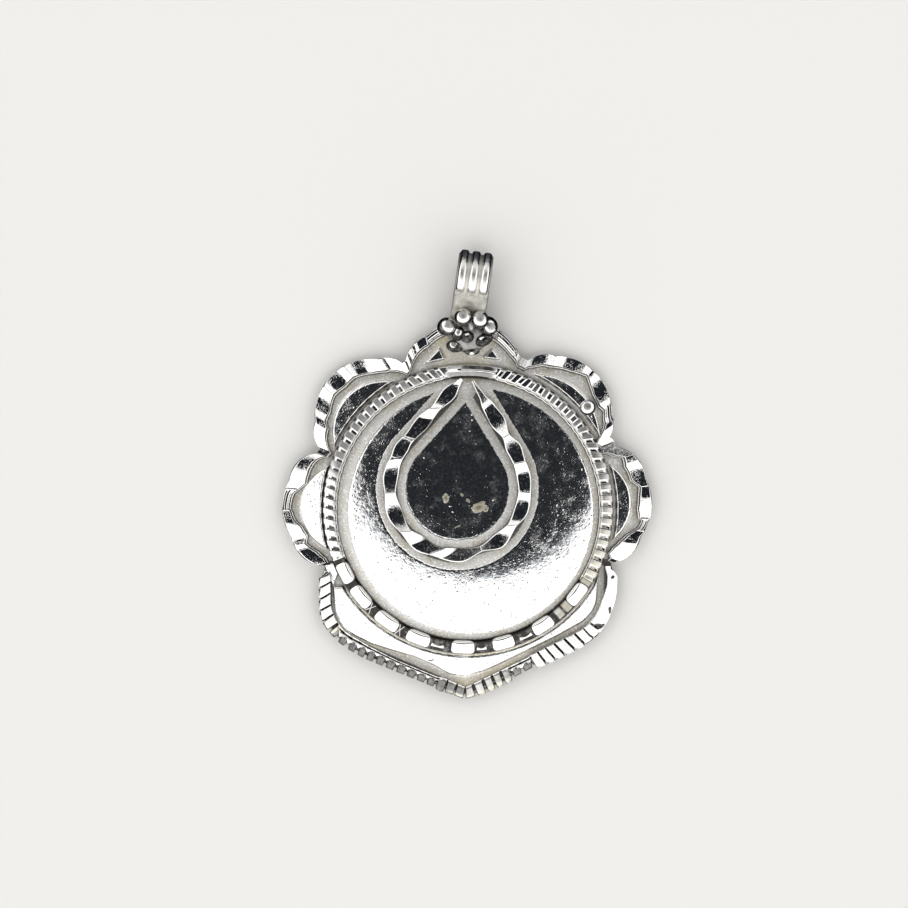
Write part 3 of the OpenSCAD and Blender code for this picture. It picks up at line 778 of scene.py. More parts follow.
RIM_FACETS = {
    "right": [
        [(-20.3, 1.2), (-17.5, 1.45), (-12.3, 1), (-11.2, 0.4), (-7.3, -0.7)],
        [(-7.2, -0.7), (-3.4, 0.7)], [(-3.3, 1.6), (3.6, 1), (4.6, 0.4), (7.3, -0.4)],
        [(7.4, -0.8), (13.2, 1), (14.6, 1.5), (16.1, 1), (18.2, 0.2)], [(18.4, 0.6), (24.4, -0.4)]],
    "upper_right": [
        [(24.4, 1.3), (29.5, 1.4), (29.9, 0.9), (31.2, 0)], [(31.3, -0.8), (36.7, 0.7)],
        [(36.8, -1.7), (38.5, -1), (44.6, 1), (46.9, 1.6)], [(47, -1.3), (47.5, -0.5), (48.2, 1.3)],
        [(48.3, -1.7), (50.9, -1), (56.7, 1), (59.9, 1.6)],
        [(60, -1.6), (62.2, -1), (67.6, 1), (69.6, 1.2)]],
    "top": [
        [(69.6, 1.4), (71, 0.4), (72.4, 1.4)], [(72.5, -0.8), (80, 0.8)], [(80.1, -1.2), (95, 1.2)],
        [(95.1, -1.2), (100.3, -0.7), (103.6, 0.8)], [(103.8, -0.6), (107.1, 1), (107.6, 1.5)],
        [(107.7, -1.3), (108.1, -1), (109.1, 1), (109.4, 1.5)],
        [(109.5, -1.7), (110.3, -1), (111.4, -0.4), (112, -1.3), (113.2, -1.3)]],
    "upper_left": [
        [(113.2, -1.35), (119.6, -1.45)], [(119.9, -1.7), (126, -1), (129.3, 1), (131.1, 1.6)],
        [(131.2, -1.6), (133.8, -1), (137.9, 1), (139.7, 1.6)],
        [(139.8, -1.6), (142.9, -1), (146.4, 1), (148.5, 1.7)],
        [(148.6, 0.3), (151.1, -1), (152.5, -1.35), (159.6, -1.45)]],
    "left": [
        [(159.6, -1.4), (161.9, -1.2)],
        [(162, 0.4), (165.6, -0.6), (166.6, -1), (168, -1.3), (173.5, -1.4)],
        [(173.8, -0.9), (180.4, 0.8)],
        [(180.6, 0.5), (184.0, -0.5), (184.6, -1), (186, -1.35), (190.3, -1.4), (191, -.9)],
        [(191.05, 0.2), (191.8, -0.5)], [(191.9, -1.5), (193.8, -1.6)],
        [(193.9, 0.3), (195, 0.0), (200.9, 0.1)]],
}
RIM_GREY = {"right": (18.6, 24.4), "upper_right": (66.5, 69.6), "top": (69.6, 72.3), "left": (159.6, 161.9)}
NARROW = {"right": (-7.1, -3.5), "upper_right": (31.4, 36.6), "left": (174, 180.4), "top": (73, 103.6)}
print(sum(len(facets) for facets in RIM_FACETS.values()), "facets on the petals' rims")

# %% [markdown]
# ## Cutting the petals' rims
# The facets above are laid on the wire as on the teardrop's. Where a rim is `NARROW`, its sides
# fall away below a slim crest, and a few ends are grey. Where a cut goes deep the ribbon is
# painted dark, a painted shade. A thin bead runs along the inner side, painted dark low at its
# foot, a painted shade as well.

# %% The ribbons and their beads
def within(a, span, soft, start=0.0):
    """1 inside the span and 0 outside it: two S-curves multiplied. No span gives 0 everywhere."""
    if span is None:
        return 0 * a
    return ease((a - span[0]) / soft + start) * ease((span[1] - a) / soft + start)


def petal_rim(name, facets):
    """The ribbon of one petal, the lesser of crown and cuts, and the thin bead inside it."""
    a = np.linspace(facets[0][0][0], facets[-1][-1][0], 480)
    outer = outline(a)
    width = np.interp(a, *np.array(RIM_WIDTHS[name]).T)
    path = outer[:, None] * unit(a)
    own = path - petal_centre(name)
    out = own / np.hypot(*own.T)[:, None]
    way = np.stack([-out[:, 1], out[:, 0]], -1)
    cuts, sideways = cut_heights(lengths(path), a, way, GROUND_TIP * unit(a), facets, 1.0, 0.6)
    ends = within(a, (a[0], a[-1]), 0.5, 0.25) if name == "left" else np.ones(a.shape)
    d, z = crown(width / 2, 1.12 * ends, 4.5)
    slim = within(a, NARROW.get(name), 0.4)[:, None] * ease((np.abs(d) / width[:, None] * 2 - 0.3) / 0.5)
    rolled = (np.tan(np.radians(sideways)) * (out * unit(a)).sum(1))[:, None] * d
    cut_z = np.minimum(z, cuts[:, None] + rolled - 0.03 * d ** 2) - 0.35 * slim
    grey = 0.75 * within(a, RIM_GREY.get(name), 0.6, 0.5)[:, None]
    middle = (outer - width / 2 - 0.06)[:, None] * unit(a)
    ribbon = wire_grid(middle, unit(a), d, np.maximum(cut_z, 0), ground)
    # Painted shade: the ribbon is painted dark where a cut goes deep.
    values = {"groove": pad(ease(1 - cut_z / 0.28) * 0.8), "matt": pad(grey + 0 * cut_z)}
    d, z = crown(np.full(a.shape, 0.11), np.full(a.shape, 0.5), 2.0, 7)
    bead = wire_grid((outer - width - 0.22)[:, None] * unit(a), unit(a), d, z, ground)
    # Painted shade: the bead is painted dark low at its foot.
    shade = {"groove": pad(0.4 * ease(1 - z / 0.4))}
    piece("rim_" + name, [(ribbon, False, True, values), (bead, False, True, shade)],
          "petal_rim_" + name, rim_silver)


for name, facets in RIM_FACETS.items():
    petal_rim(name, facets)

# %% [markdown]
# ## The milled ring
# Round the medallion runs a wire that was rolled between toothed wheels. Each tooth is a flat
# pad, grey with fine strokes, and between two pads lies a shallow pit with bright walls and a
# floor painted dark, a painted shade. The pads' places are read off, and a pad is where the count
# between them is whole.
# Everything on the ring is an array of stations along it by places across it, where `across`
# runs from -1 on the inner side to 1 on the outer.

# %% The ring's teeth
RING_MID, RING_HALF, RING_H = (RING_OUT + RING_IN) / 2, 0.75, 1.5
PADS = [-27.4, -23, -18.6, -14, -9.6, -5, -0.5, 4.5, 9, 13.2, 18, 22.6, 27.2, 31.2, 34.6, 38.2, 42.8, 47.3,
        51.8, 56.2, 60.5, 65, 69.7, 74.2, 78.6, 83, 87.3, 91.6, 95.7, 99.7, 104, 108.6, 113, 117.3, 121.5,
        126, 130.5, 135, 139.5, 143.9, 148.3, 153, 157.3, 161.4, 165.3, 168.9, 172.7, 177, 181.2, 185.5,
        190, 194.4, 198.8]
ZONES = {          # direction: (pit's half width in teeth, its middle across, leaning, grey of the pads)
    -30: (.27, -.2, 0, .85), 16: (.26, -.2, .06, .8), 24: (.22, -.1, .26, .7), 33: (.26, 0, .26, .75),
    37: (.30, 0, 0, .8), 58: (.31, 0, 0, .8), 63: (.30, 0, .16, .35), 67: (.28, 0, .27, .1),
    78: (.26, 0, .27, .1), 101: (.24, 0, -.33, .6), 112: (.22, -.2, -.3, .85), 118: (.22, -.2, -.1, .9),
    125: (.24, -.25, 0, .9), 165: (.23, -.25, .06, .8), 171: (.27, -.25, .18, .3),
    201: (.27, -.25, .2, .25),
}


def stations(places, at, values):
    """A value at each station along the wire, straight between the given places."""
    return np.interp(places, at, values)[:, None]


def columns_at(places, table):
    """Each column of a table at each place, straight between the table's rows."""
    return [stations(places, list(table), column) for column in np.array(list(table.values())).T]


a = np.linspace(-30.5, 329.5, 2200, endpoint=False)
d, crown_z = crown(np.full(a.shape, RING_HALF), np.full(a.shape, RING_H), 4.0, 33)
across = d / RING_HALF
wide, set_in, lean, grey = columns_at(a, ZONES)
count = stations(a, [-31.8] + PADS + [203.2], np.arange(-1, len(PADS) + 1)) + lean * across
signed = count - np.round(count)
off = np.abs(signed)
below = (a > 201.2)[:, None]
worn = within(a, (77, 101), 3.5)[:, None]
in_teeth = (ease((a + 30.3) / 0.6) * ease((201 - a) / 0.6))[:, None] * (1 - worn)
pitch = np.radians(PADS[-1] - PADS[0]) / (len(PADS) - 1) * RING_MID
print(len(PADS), "teeth,", round(float(pitch), 2), "mm apart")

# %% [markdown]
# ## The pads and the pits
# A pit is an upside-down pyramid with a flat floor: `pit` falls from 1 in its middle to 0 at its
# rim, by the larger of its distances along and across the wire. Between the pads' outer ends it
# opens into a notch, which starts further out on the sides of the ring. The pit's floor and the
# notch are painted dark, a painted shade. On the sides each pad also has a thin line of painted
# shade at its edge, where the wheel left a step.

# %% The ring's upper part
PIT_DEEP, NOTCH_DEEP = 0.13, 0.30
from_middle = (0.5 - off) / wide
pit = 1 - np.maximum(from_middle, np.abs(across - set_in) / 0.82)
puffed = stations(a, [-30, -12, 22, 30, 160, 170, 201], [0.8, 0.8, 0.5, 0, 0, 1.5, 1.5])
notch_from = stations(a, [14, 20, 160, 168], [0.70, 0.55, 0.55, 0.78])
notch = ease((across - notch_from) / 0.3) * ease((1 - from_middle) / 0.4)
sunk = (PIT_DEEP * np.clip(pit / 0.5, 0, 1) + NOTCH_DEEP * notch) * in_teeth
wobble = np.random.default_rng(7).normal(0, 1, 200)[np.round(count).astype(int)]
swollen = puffed * (0.06 + 0.20 * across + 0.2 * off ** 2)
pads = 1.36 + 0.018 * wobble - sunk - 0.05 * across ** 2 - swollen
upper_z = np.minimum(crown_z - 0.5 * sunk, pads)
at_side = stations(a, [14, 24, 160, 170], [1, 0, 0, 1])
from_line = np.abs(signed * np.sign(90 - a)[:, None] - 0.27)
# Painted shade: a thin line at each pad's edge on the ring's sides.
side_line = 0.8 * at_side * ease(1 - from_line / 0.08) * in_teeth
# Painted shade: the pits' floors are painted dark, this much along the ring.
pit_dark = stations(a, [-30, 18, 26, 160, 172], [0.6, 0.65, 0.85, 0.85, 1.0])
floor_dark = ease((pit - 0.36) / 0.12) * in_teeth * pit_dark
# Painted shade in the upper part: the pits' floors, the lines at the pads' edges and the notches.
upper_painted_shade = np.maximum(np.maximum(floor_dark, side_line), notch * in_teeth)
upper_matt = grey * (1 - ease((pit - 0.02) / 0.12)) * in_teeth * ease((1 - np.abs(across)) / 0.12)
print("pits cover", round(float((pit > 0).mean() * 100)), "% of the grid")

# %% [markdown]
# ## The worn top
# At the very top the teeth are worn away. What is left is a smooth bright band that leans
# inwards, a matt strip on either side of it, a slot in the outer strip and a thin line in the
# inner one. The slot is painted dark, a painted shade, the thin line is painted dark too, and the
# matt strips a little darker.

# %% The ring's worn top
slot = ease(1.8 - np.abs(across - 0.48) / 0.27) * (ease((a - 76) / 3) * ease((95 - a) / 4))[:, None]
worn_z = np.minimum(crown_z, 1.28 + 0.14 * across - 0.16 * slot)
outer_strip = ease((across - 0.22) / 0.1) * ease((0.72 - across) / 0.1)
worn_matt = np.maximum(outer_strip, ease((-0.16 - across) / 0.1)) * worn
thin = ease(1 - np.abs(across + 0.30) / 0.10) * within(a, (75, 88), 2)[:, None]
# Painted dark: the slot as a painted shade, the thin line, and a little the matt strips.
worn_painted_shade = np.maximum(slot, np.maximum(0.9 * thin, 0.42 * worn_matt)) * worn
print("worn over", int((worn > 0.5).sum()), "stations")

# %% [markdown]
# ## The long bright cuts
# Below, a graver cut eight long ovals into the wire. Between them the metal is painted dark, a
# painted shade and a painted reflection of the tent's dark opening, with three bright bridges,
# two pairs of crossed strokes like bow ties, and two dull patches, where less dark is painted. An
# oval is a superellipse: |along|^5 + |across|^4 is 0 in its middle and 1 at its rim.

# %% The ring's lower part
OVALS = [(203, 212), (214.2, 224.5), (228.7, 239.5), (243.8, 254.1), (263, 272.8), (280.2, 289.5),
         (298, 307.5), (317, 327)]
BOW_TIES = [(225.5, 1.1), (240.6, 1.1)]     # middle and half length, as for the next two
BRIDGES = [(257.4, 2.5), (275.6, 1.9), (294.4, 2.6)]
DULL = [(313.3, 3.7), (329.5, 2.4)]


def nearest(a, spans):
    """Place within the nearest of the spans: distance from its middle over its half length."""
    middle, half = np.array(spans, float).T
    k = np.argmin(np.abs(a[:, None] - middle) / half, 1)
    return ((a - middle[k]) / half[k])[:, None]


along = nearest(a, [((p + q) / 2, (q - p) / 2) for p, q in OVALS])
oval = ease((1 - (np.abs(along) ** 5 + np.abs(across) ** 4) ** (1 / 4)) / 0.05)
tie = np.abs(nearest(a, BOW_TIES))
bow = ease(1 - np.abs(np.abs(across) - 0.9 * tie) / 0.16) * (tie < 1)
span = np.abs(nearest(a, BRIDGES))
bridge = ease((across + 0.12 - 0.30 * (1 - span ** 2)) / 0.10) * ease((0.48 - across) / 0.1)
bridge = bridge * ease((1 + 0.25 * across - span) / 0.1)
patch = np.abs(nearest(a, DULL))
dull = ease((1 - patch) / 0.12) * ease((0.8 - across) / 0.1)
bright = np.maximum(np.maximum(oval, bow), bridge)
lower_z = np.minimum(crown_z, 1.38 - 0.24 * d - 0.16 * (1 - oval) - 0.10 * np.minimum(along ** 2, 1))
# Painted shade and painted reflection: all but the ovals, bow ties and bridges is painted dark, less on the
# dull patches.
lower_painted_shade = (1 - bright) * (1.0 - 0.68 * dull * (1 - ease(1 - patch / 0.3)))
swell = np.where(below & (d < 0), 1 + 0.27 * np.clip(1 - along ** 4, 0, 1), 1)
print(len(OVALS), "long cuts")

# %% [markdown]
# ## The ring's mesh
# The parts meet here: the lower one takes over past 201 degrees, and the worn top fades in. A
# thin bright bead runs along the inner side, a little scalloped beside the teeth. Where the ring
# and the bead stand low, at their feet, they are painted dark, a painted shade.

# %% The milled ring
def plate_top(x, y):
    """The plate's thickness everywhere."""
    return PLATE_T + 0 * x


ring_z = np.where(below, lower_z, upper_z * (1 - worn) + worn_z * worn)
matt = np.maximum(np.where(below, 0.9 * dull * (1 - bright), upper_matt), 0.9 * worn_matt)
groove = np.maximum(np.where(below, lower_painted_shade, upper_painted_shade), np.where(below, 0, worn_painted_shade))
# Painted shade: the ring is painted dark where it stands low, near the plate.
groove = np.maximum(groove, ease(1 - ring_z / 0.55))
warm = stations(a, [-30, -18, -12, 30, 34, 305, 312, 329], [0.9, 0.7, 0.35, 0.1, 0, 0, 0.8, 0.9])
warm = warm * np.where(below & (a > 300)[:, None], dull * (1 - bright), 1)
grid = wire_grid(RING_MID * unit(a), unit(a), d * swell, ring_z, plate_top)
values = {"matt": pad(matt), "groove": pad(groove), "hatch": pad(count * 5), "warm": pad(warm)}

b = np.linspace(0, 360, 700, endpoint=False)
bulge = 0.30 * ease((b - 72) / 16) * ease((106 - b) / 16)
scallop = 0.03 * np.cos(2 * np.pi * np.interp(b, PADS, np.arange(len(PADS)), 0, 0))
bead_h = 0.86 + bulge - 0.35 * ease((b - 200) / 3) * ease((330 - b) / 3)
d, z = crown(np.full(b.shape, 0.12), bead_h, 2.0, 8)
bead = wire_grid((RING_IN - 0.08 + bulge + scallop)[:, None] * unit(b), unit(b), d, z, plate_top)
# Painted shade: the bead is painted dark low at its foot.
shade = {"groove": pad(ease(1 - z / 0.72))}
piece("ring", [(grid, True, True, values), (bead, True, True, shade)],
      "milled_ring", cut_silver)

# %% [markdown]
# ## The shield's border
# The same rolled wire, bent round the shield, but struck by several tools: leaning bars down the
# left, short grey tabs with bright triangles between them along the lower left, tall teeth round
# the tip, leaning bars again on the lower right, and a plain bright band up the right side. Along
# its inner side runs a thin double line. The teeth's places are read along the outline.

# %% The border's teeth
TEETH = [0.7, 2.2, 3.6, 5.1, 6.5, 7.8, 9.15, 10.6, 12.05, 13.4, 14.65, 16.0, 17.4, 18.9, 20.3, 21.7, 23.0,
         24.3, 25.6, 26.9, 28.2, 29.6, 31.0, 32.15, 33.4, 34.8, 36.3, 37.85, 39.1, 40.3, 41.7, 43.2,
         44.6, 45.8, 47.4]
BARS = {  # place: (leaning, half width in teeth, inner end, grey, double line, further out, further in)
    0: (.6, .45, -1.2, .3, 0, .10, .15), 5: (.6, .45, -1.2, .35, 0, .10, .1),
    7: (.5, .43, -1.2, .4, 0, .10, .28), 8.4: (.1, .38, -1.1, .35, 0, -.08, .3),
    9.2: (0, .30, -.4, .8, .6, -.2, .3), 11: (0, .31, -.25, .95, 1, -.15, .32),
    12.6: (0, .32, -.25, 1, 1, .08, .2), 14: (0, .33, -.25, 1, 1, .2, 0),
    18: (0, .37, -.25, 1, 1, .12, -.22), 23.4: (0, .36, -.25, 1, 1, 0, -.1),
    24.3: (.1, .43, -.75, .9, 0, .2, .1), 26: (.1, .43, -.75, .9, 0, -.06, .1),
    28.4: (-.1, .38, -.75, .72, 0, -.06, .1), 29.6: (-.1, .36, -.75, .72, 0, .2, .1),
    33.5: (-.15, .37, -.75, .78, 0, .28, .1), 34.4: (-.1, .36, -.2, .9, 1, -.1, .1),
    36.8: (-.1, .36, -.2, .9, 1, -.15, .1), 37.4: (.2, .41, -1.2, .15, 0, .2, .3),
    39.5: (.5, .43, -1.2, .45, 0, .3, .35), 43.6: (.5, .43, -1.2, .45, 0, .28, .35),
    45.2: (.5, .44, -1.2, .1, 0, -.02, .5), 47: (.3, .4, -1.2, .1, 0, -.28, .65),
    49.3: (.3, .4, -1.2, .1, 0, -.35, .55), 50.5: (.3, .4, -1.2, .1, 0, -.12, .40),
    51.5: (.3, .4, -1.2, .1, 0, .05, .05), 52.5: (.3, .4, -1.2, .1, 0, .12, -.25),
    54: (.3, .4, -1.2, .1, 0, .15, -.3), 56: (.3, .4, -1.2, .1, 0, .1, -.3),
}
BORDER_HALF, BORDER_H, BORDER_INSET = 0.70, 1.4, 0.72
READ_LENGTH = 55.3     # the outline's length on the scale that the places were read along
at, path = shield_line(BORDER_INSET, 0.026)
step = np.gradient(path, axis=0)
step /= np.hypot(*step.T)[:, None]
out = np.stack([step[:, 1], -step[:, 0]], -1)
place = at * READ_LENGTH / at[-1]
keep = (place > 1.0) & (place < 54.9)
path, out, place = path[keep], out[keep], place[keep]
d, crown_z = crown(np.full(place.shape, BORDER_HALF), np.full(place.shape, BORDER_H), 6.0, 38)
across = d / BORDER_HALF
lean, wide, inner_end, grey, lined, further_out, further_in = columns_at(place, BARS)
count = stations(place, [-0.8] + TEETH + [49], np.arange(-1, len(TEETH) + 1))
count = count - lean * (across - 0.2) * 0.5
off = np.abs(count - np.round(count))
band = ease((place - 46.0) / 0.6)[:, None]
print(len(TEETH), "teeth on the border")

# %% [markdown]
# ## Bars, tabs and triangles
# `body` is 1 on a tooth and `valley` 1 between two. Where `lined` is 1 the teeth are short tabs:
# a bright wedge stands between two of them, on the bright one of the two lines, and inside that
# runs the dark one, a groove that is also painted dark, a painted shade.

# %% The border's shapes
body = ease((wide - off) / 0.08 + 0.5)
valley = 1 - body
body = body * ease((across - inner_end) / 0.14 + 0.5)
apex = (0.17 - across) / 0.73
wedge = ease((0.44 * apex - (0.5 - off)) / 0.06 + 0.5) * ease(apex / 0.1)
wedge = wedge * ease((across + 0.60) / 0.06 + 0.5)
bright_line = ease(1 - np.abs(across + 0.54) / 0.10)
shine = np.maximum(wedge, bright_line) * lined * (1 - body)
dark_line = ease(1 - np.abs(across + 0.73) / 0.11) * lined
barrel = np.sqrt(np.clip(1 - (off / (wide + 0.05)) ** 2, 0, 1))
bar_z = body * (0.30 + 0.27 * barrel - 0.16 * across - 0.10 * ease((across - 0.7) / 0.3))
teeth_z = 0.50 + bar_z + shine * (0.20 + 0.22 * apex) - 0.35 * dark_line
teeth_z = teeth_z - 0.40 * valley * (1 - shine) * ease((across + 0.15 + 0.9 * (1 - lined)) / 0.5)
plain = 1.02 - 0.20 * across
border_z = np.minimum(crown_z, teeth_z * (1 - band) + plain * band)
ends = (ease((place - 0.8) / 1.3) * ease((55.0 - place) / 1.6))[:, None]
slim_in = stations(place, [1, 5, 8, 12], [0.75, 0.8, 1, 1])
out_d = np.where(d > 0, d * (0.1 + 0.9 * ends), d * slim_in)
out_d = out_d + np.where(d > 0, further_out, further_in) * np.clip(across, -1, 1) * ends
out_d = out_d - 0.42 * valley * ease((across - 0.05) / 0.8) * (1 - band)
grid = wire_grid(path, out, out_d, border_z * (0.55 + 0.45 * ends), ground)
print("the border runs along", round(float(at[-1]), 1), "mm of outline")

# %% [markdown]
# ## The border's finish
# The metal between the teeth is painted dark, a painted shade, and their tops are grey. The short
# tabs and the tip's teeth get painted shade all over, but for the tip's outer ends, which are left
# lighter and a little yellow. The leaning bars have a thin stroke painted dark beside their middle,
# the wire is painted dark where it stands low, a painted shade, and the plain band has a few dark
# spots.

# %% The shield's border
SPOTS = [          # place, across, half length, half width, leaning
    (46.9, 0.15, 0.50, 0.72, 0.5), (49.3, 0.35, 0.42, 0.5, -0.4), (53.5, 0.30, 0.22, 0.30, 0.3)]
matt = (1 - band) * grey * ease((body - 0.5) / 0.3)
stroke = 0.30 * ease(1 - np.abs(off - 0.14) / 0.06) * (1 - lined) * (grey < 0.6)
# Painted shade between the teeth, lighter at the inner edge.
between_teeth = valley * (1 - shine) * np.where(across < -0.85, 0.3, 1)
# The inner dark line is painted shade in its groove, and the strokes are painted dark.
groove = np.maximum(between_teeth, np.maximum(dark_line, stroke))
tip_light = ease((across - 0.1) / 0.5) * (ease((place - 24.5) / 2) * ease((36 - place) / 4))[:, None]
# Painted shade over the tops of the tabs and the tip's teeth, left off at the tip's outer ends.
shaded = 0.7 * body * ease((grey - 0.65) / 0.2) * (1 - tip_light)
groove = np.maximum(groove, shaded) * (1 - band)
for spot_at, spot_across, long, short, turned in SPOTS:
    beside = across - spot_across
    far = np.hypot((place[:, None] - spot_at - turned * beside) / long, beside / short)
    groove = np.maximum(groove, ease((1.1 - far) / 0.25))
# Painted shade: the wire is painted dark where it stands low.
groove = np.maximum(groove, ease(1 - border_z / 0.3) * 0.9)
warm = 0.8 * tip_light + 0.5 * within(place, (6.5, 10), 1)[:, None] + 0 * d
values = {"matt": pad(matt), "groove": pad(groove), "hatch": pad(count * 4), "warm": pad(warm)}
piece("border", [(grid, False, True, values)], "shield_border", cut_silver)

# %% [markdown]
# ## The bail
# The bail is a strip with three ribs, bent into a loop. Its section is laid out across the
# strip and turned once round the hole, then everything is leaned over by eight degrees. The
# ribs are flat on top, with rounded bright edges, and the grooves are matt, with a thin line of
# painted shade along each rib's foot. Below the loop a smooth collar runs to the foot on the top
# petal.

# %% The bail
BAIL_AT, BAIL_LEAN, BORE, BAIL_W, BAIL_Z = np.array([0.65, 28.15]), 8.0, 2.3, 4.2, 3.3


def bail_place(x, y, z):
    """Leans a point of the bail's own frame, (x·c − y·s, x·s + y·c), and moves it to its place."""
    c, s = unit(-BAIL_LEAN)
    return np.stack([BAIL_AT[0] + x * c - y * s, BAIL_AT[1] + x * s + y * c, z], -1)


turn = np.linspace(0, 2 * np.pi, 200, endpoint=False)[:, None]
x = np.linspace(-1, 1, 76)[None, :]
RIBS, RIB_SHARE = 3, 0.72     # how many, and how much of the width they take
off = np.abs(x * RIBS / 2 - np.round(x * RIBS / 2)) * 2 / RIB_SHARE
ended = ease((turn - np.radians(121)) / np.radians(16)) * ease((np.radians(250) - turn) / np.radians(14))
rib = np.where(off < 1, np.clip(1 - off ** 3.0, 0, 1) ** 0.5, 0) * (1 - ended)
outer = BORE + 0.60 + 0.34 * rib - 0.18 * ease((np.abs(x) - 0.95) / 0.05)
inner = np.full(outer.shape, BORE)
r = np.hstack([outer, inner[:, ::-1]])
across = np.hstack([x, x[:, ::-1]]) * BAIL_W / 2 + 0 * turn
grid = bail_place(across, r * np.cos(turn), BAIL_Z + r * np.sin(turn))
crest = ease((0.60 - off) / 0.2) * (1 - ended)
matt = np.hstack([np.maximum(1 - ease((rib - 0.1) / 0.4), 0.6 * crest), np.ones(outer.shape)])
# Painted shade: a thin line along each rib's foot, in the grooves.
groove = np.hstack([0.35 * ease(1 - np.abs(off - 1.1) / 0.12) * (1 - ended), 0 * outer])
values = {"matt": matt, "groove": groove, "hatch": np.hstack([x, x]) * 3 + 0 * turn}
ribs = (grid, True, True, values)
print(RIBS, "ribs round a bore of", 2 * BORE, "mm")

# %% [markdown]
# ## The bail's collar and foot
# Below the loop the strip narrows and runs down to the foot. Seen from the side it is a closed
# line of a few points, and each is carried across the strip. Two sine waves make it a little
# lumpy, as it was soldered and melted. Its colour is painted darker, a painted shade, more in the
# middle than at the sides on its part towards the foot.

# %% The collar and the foot
NECK = np.array([  # y and z along the top from the loop to the foot, then back underneath
    [-2.05, 5.22], [-2.35, 5.20], [-2.6, 5.0], [-2.8, 4.95], [-3.1, 4.6], [-3.4, 4.35], [-3.7, 4.15],
    [-4.1, 3.8], [-4.6, 3.35], [-7.3, 2.45], [-7.3, 1.75], [-4.9, 1.75], [-4.6, 1.0], [-2.4, 0.9]])
NECK_HALF, NECK_MID = 2.12, 2.4
along = np.linspace(-1, 1, 40)[None, :]
belly = 1 - 0.18 * np.abs(along) ** 6
neck_y, neck_z = NECK[:, :1], NECK[:, 1:]
lumps = 0.07 * np.sin(5 * along + 2 * neck_y) + 0.05 * np.sin(11 * along - 3 * neck_y)
lumpy_z = NECK_MID + (neck_z - NECK_MID) * belly + (lumps - 0.12) * (neck_z > 2)
grid = bail_place(along * NECK_HALF + 0 * neck_y, neck_y + 0 * along, lumpy_z)
# Painted shade: the collar is painted darker, more in the middle of its part towards the foot.
shade = 0.30 + 0.14 * np.cos(3 * along) * (neck_y < -3) + 0 * neck_y
neck = (grid, True, False, {"matt": np.ones(shade.shape), "groove": shade})
piece("bail_loop", [ribs, neck], "bail", bail_silver)

# %% [markdown]
# ## Rosette and granules
# Small silver balls, melted and sunk a little into each other. A mirror ball shows the dark
# opening as a spot in its middle and the bright walls as a ring, just as in the photograph.
# The spot is painted in as well, grey and a little dark, a painted reflection, and each ball's
# edge is painted dark, a painted shade. Each ball is a sphere whose two angles are the grid,
# pressed flatter by a share.

# %% Rosette and granules
def ball(x, y, z, r, flat, long, turn, spot, grey, bright, n=34):
    """A sphere: radius times (sin a cos b, sin a sin b, cos a), stretched, turned and moved."""
    a = np.linspace(0.01, np.pi - 0.01, n)
    a, b = np.meshgrid(a, np.linspace(0, 2 * np.pi, 2 * n, endpoint=False))
    u, v = long * np.sin(a) * np.cos(b), np.sin(a) * np.sin(b)
    c, s = unit(turn)
    px, py = u * c - v * s, u * s + v * c
    # Painted reflection and painted shade: a grey, darker spot about `spot` stands for the mirrored
    # opening, and past `bright` the ball's edge is painted dark.
    far = np.hypot(px - spot[0], py - spot[1])
    centre = ease((grey + 0.06 - far) / 0.12)
    values = {"matt": centre, "groove": np.maximum(0.38 * centre, 0.95 * ease((far - bright) / 0.12))}
    points = np.stack([x + r * px, y + r * py, z + flat * r * np.cos(a)], -1)
    return points, True, False, values


# x, y, height of the middle, radius, flatness, length, turn, spot (middle of the painted
# reflection), grey within (its radius), bright within (past it the edge is painted shade)
ROSETTE = [
    (-0.62, 23.30, 4.00, 1.05, 0.85, 1.05, 90, (0.0, 0.22), 0.50, 0.80),
    (1.46, 22.95, 4.00, 1.05, 0.85, 1.05, 80, (0.0, 0.22), 0.48, 0.80),
    (-2.6, 22.2, 3.10, 1.12, 0.85, 1.05, 25, (0.35, 0.25), 0.50, 0.80),
    (2.5, 22.3, 3.10, 1.10, 0.85, 1.1, -55, (0.25, -0.1), 0.45, 0.60),
    (0.4, 22.55, 3.75, 0.42, 0.85, 2.1, 90, (0.0, 0.0), 3.0, 3.1),
    (-0.1, 20.95, 3.20, 0.74, 0.85, 1.15, 0, (-0.05, 0.4), 0.0, 0.26),
    (1.95, 20.6, 2.80, 0.76, 0.80, 1.5, 25, (-0.4, 0.35), 0.0, 0.34),
    (-1.63, 19.85, 2.35, 0.76, 0.75, 1.4, -10, (-0.2, 0.3), 0.4, 0.5),
    (0.45, 19.35, 2.10, 0.62, 0.75, 1.6, 0, (0.0, -0.85), 0.0, 0.40),
    (-1.2, 21.35, 2.90, 0.80, 0.8, 1.2, 60, (0.0, 0.2), 0.3, 0.45),
]
mound = ball(0.1, 21.6, 1.63, 2.6, 0.61, 1.0, 0, (0, 0), 2.0, 3.0)
# Painted shade: the whole mound is painted a little darker.
mound[3]["groove"] = mound[3]["groove"] + 0.15
balls = [mound] + [ball(*row) for row in ROSETTE]
piece("rosette_balls", balls, "rosette", rim_silver)
granule = ball(14.65, 12.4, 1.95, 0.95, 0.6, 1.0, 0, (-0.1, 0.1), 0.50, 0.80)
# Painted shade: the granule's spot and edge are painted darker still.
granule[3]["groove"] = granule[3]["groove"] * 1.5
piece("single_ball", [granule], "granule", rim_silver)

# %% [markdown]
# ## The light tent and the table
# A light tent is white cloth all round with an opening above for the camera, and a little to
# one side of straight up. For each direction we take the angle to the opening's middle: inside
# it the tent is dark, outside bright, and brighter in front and on the left. The table is pale,
# but the metal doesn't mirror it, so that steep facets stay as dark as they should. Far behind
# stands pale paper that only the camera sees, so that a low view has no dark sky.

# %% The light tent
world = bpy.data.worlds.new("tent")
world.use_nodes = True
bpy.context.scene.world = world


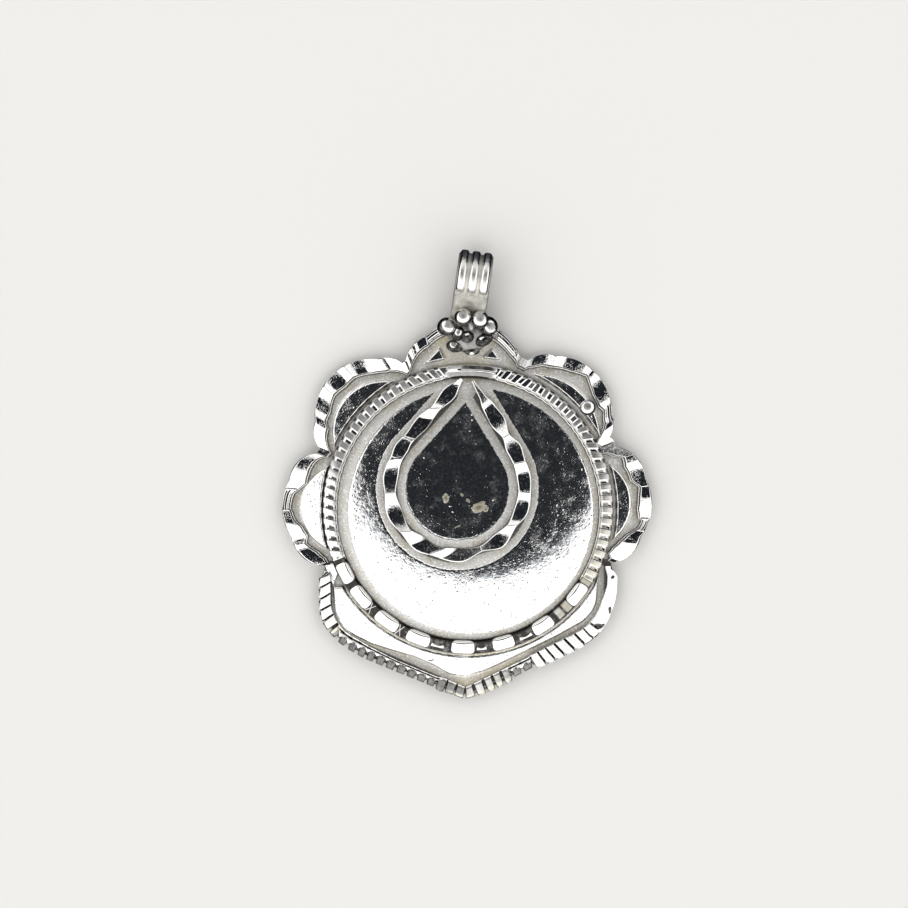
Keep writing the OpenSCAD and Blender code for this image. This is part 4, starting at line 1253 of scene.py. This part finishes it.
class Tent(Finish):
    """The same expressions, for the world's own nodes."""

    def __init__(self, tree):
        self.tree = tree
        self.tree.nodes.clear()

    def facing(self, x, y, z):
        """Cosine of the angle to that direction: the dot product of two vectors of length one."""
        way = np.array([x, y, z]) / np.linalg.norm([x, y, z])
        here = self.node("ShaderNodeTexCoord", output=0)
        settings = {"operation": "DOT_PRODUCT"}
        return self.node("ShaderNodeVectorMath", settings, {0: here, 1: tuple(way)}, output=1)


tent = Tent(world.node_tree)
opening = tent.facing(0.034, 0.182, 1.0).rise(0.913, 0.900)
below = tent.facing(0, -0.12, 1).rise(0.14, 0.26)
front = tent.facing(-0.45, -1.0, 0.4)
share = opening * below
strength = share * (front * 0.35 + 1.3) + 0.015
colour = tent.mix(share, (0.80, 0.95, 1.18, 1.0), (1.0, 0.995, 0.985, 1.0))
light = tent.node("ShaderNodeBackground", {}, {"Color": colour, "Strength": strength})
tent.node("ShaderNodeOutputWorld", {}, {"Surface": light})


def stage_piece(name, points, faces, material):
    """A mesh for the table or the paper, not for the pendant. The metal doesn't mirror it."""
    mesh = bpy.data.meshes.new(name)
    mesh.from_pydata(points, [], faces)
    mesh.materials.append(material)
    made = bpy.data.objects.new(name, mesh)
    bpy.context.scene.collection.objects.link(made)
    made.visible_glossy = False
    return made


HALF, UNDER, PAPER_R = 3, -5e-5, 2.9    # metres: half the table, its place under z = 0, the paper
corners = [(-HALF, -HALF, UNDER), (HALF, -HALF, UNDER), (HALF, HALF, UNDER), (-HALF, HALF, UNDER)]
pale = Finish("pale_table").surface("ShaderNodeBsdfPrincipled", {
    "Base Color": (0.8, 0.79, 0.77, 1.0), "Roughness": 0.8})
stage_piece("table", corners, [(0, 1, 2, 3)], pale)

turn, rise = np.meshgrid(np.radians(np.arange(0, 361, 7.5)), np.radians(np.arange(-3, 88, 7)))
shell = PAPER_R * np.stack([np.cos(turn) * np.cos(rise), np.sin(turn) * np.cos(rise), np.sin(rise)], -1)
index = np.arange(turn.size).reshape(turn.shape)
quads = np.stack([index[:-1, :-1], index[:-1, 1:], index[1:, 1:], index[1:, :-1]], -1)
glow = Finish("pale_paper").surface("ShaderNodeEmission", {
    "Color": (0.86, 0.855, 0.835, 1.0), "Strength": 1.0})
backdrop = stage_piece("paper", shell.reshape(-1, 3).tolist(), quads.reshape(-1, 4).tolist(), glow)
backdrop.visible_diffuse = backdrop.visible_shadow = False
bpy.context.scene.view_settings.view_transform = "Standard"
print("tent, table and paper")
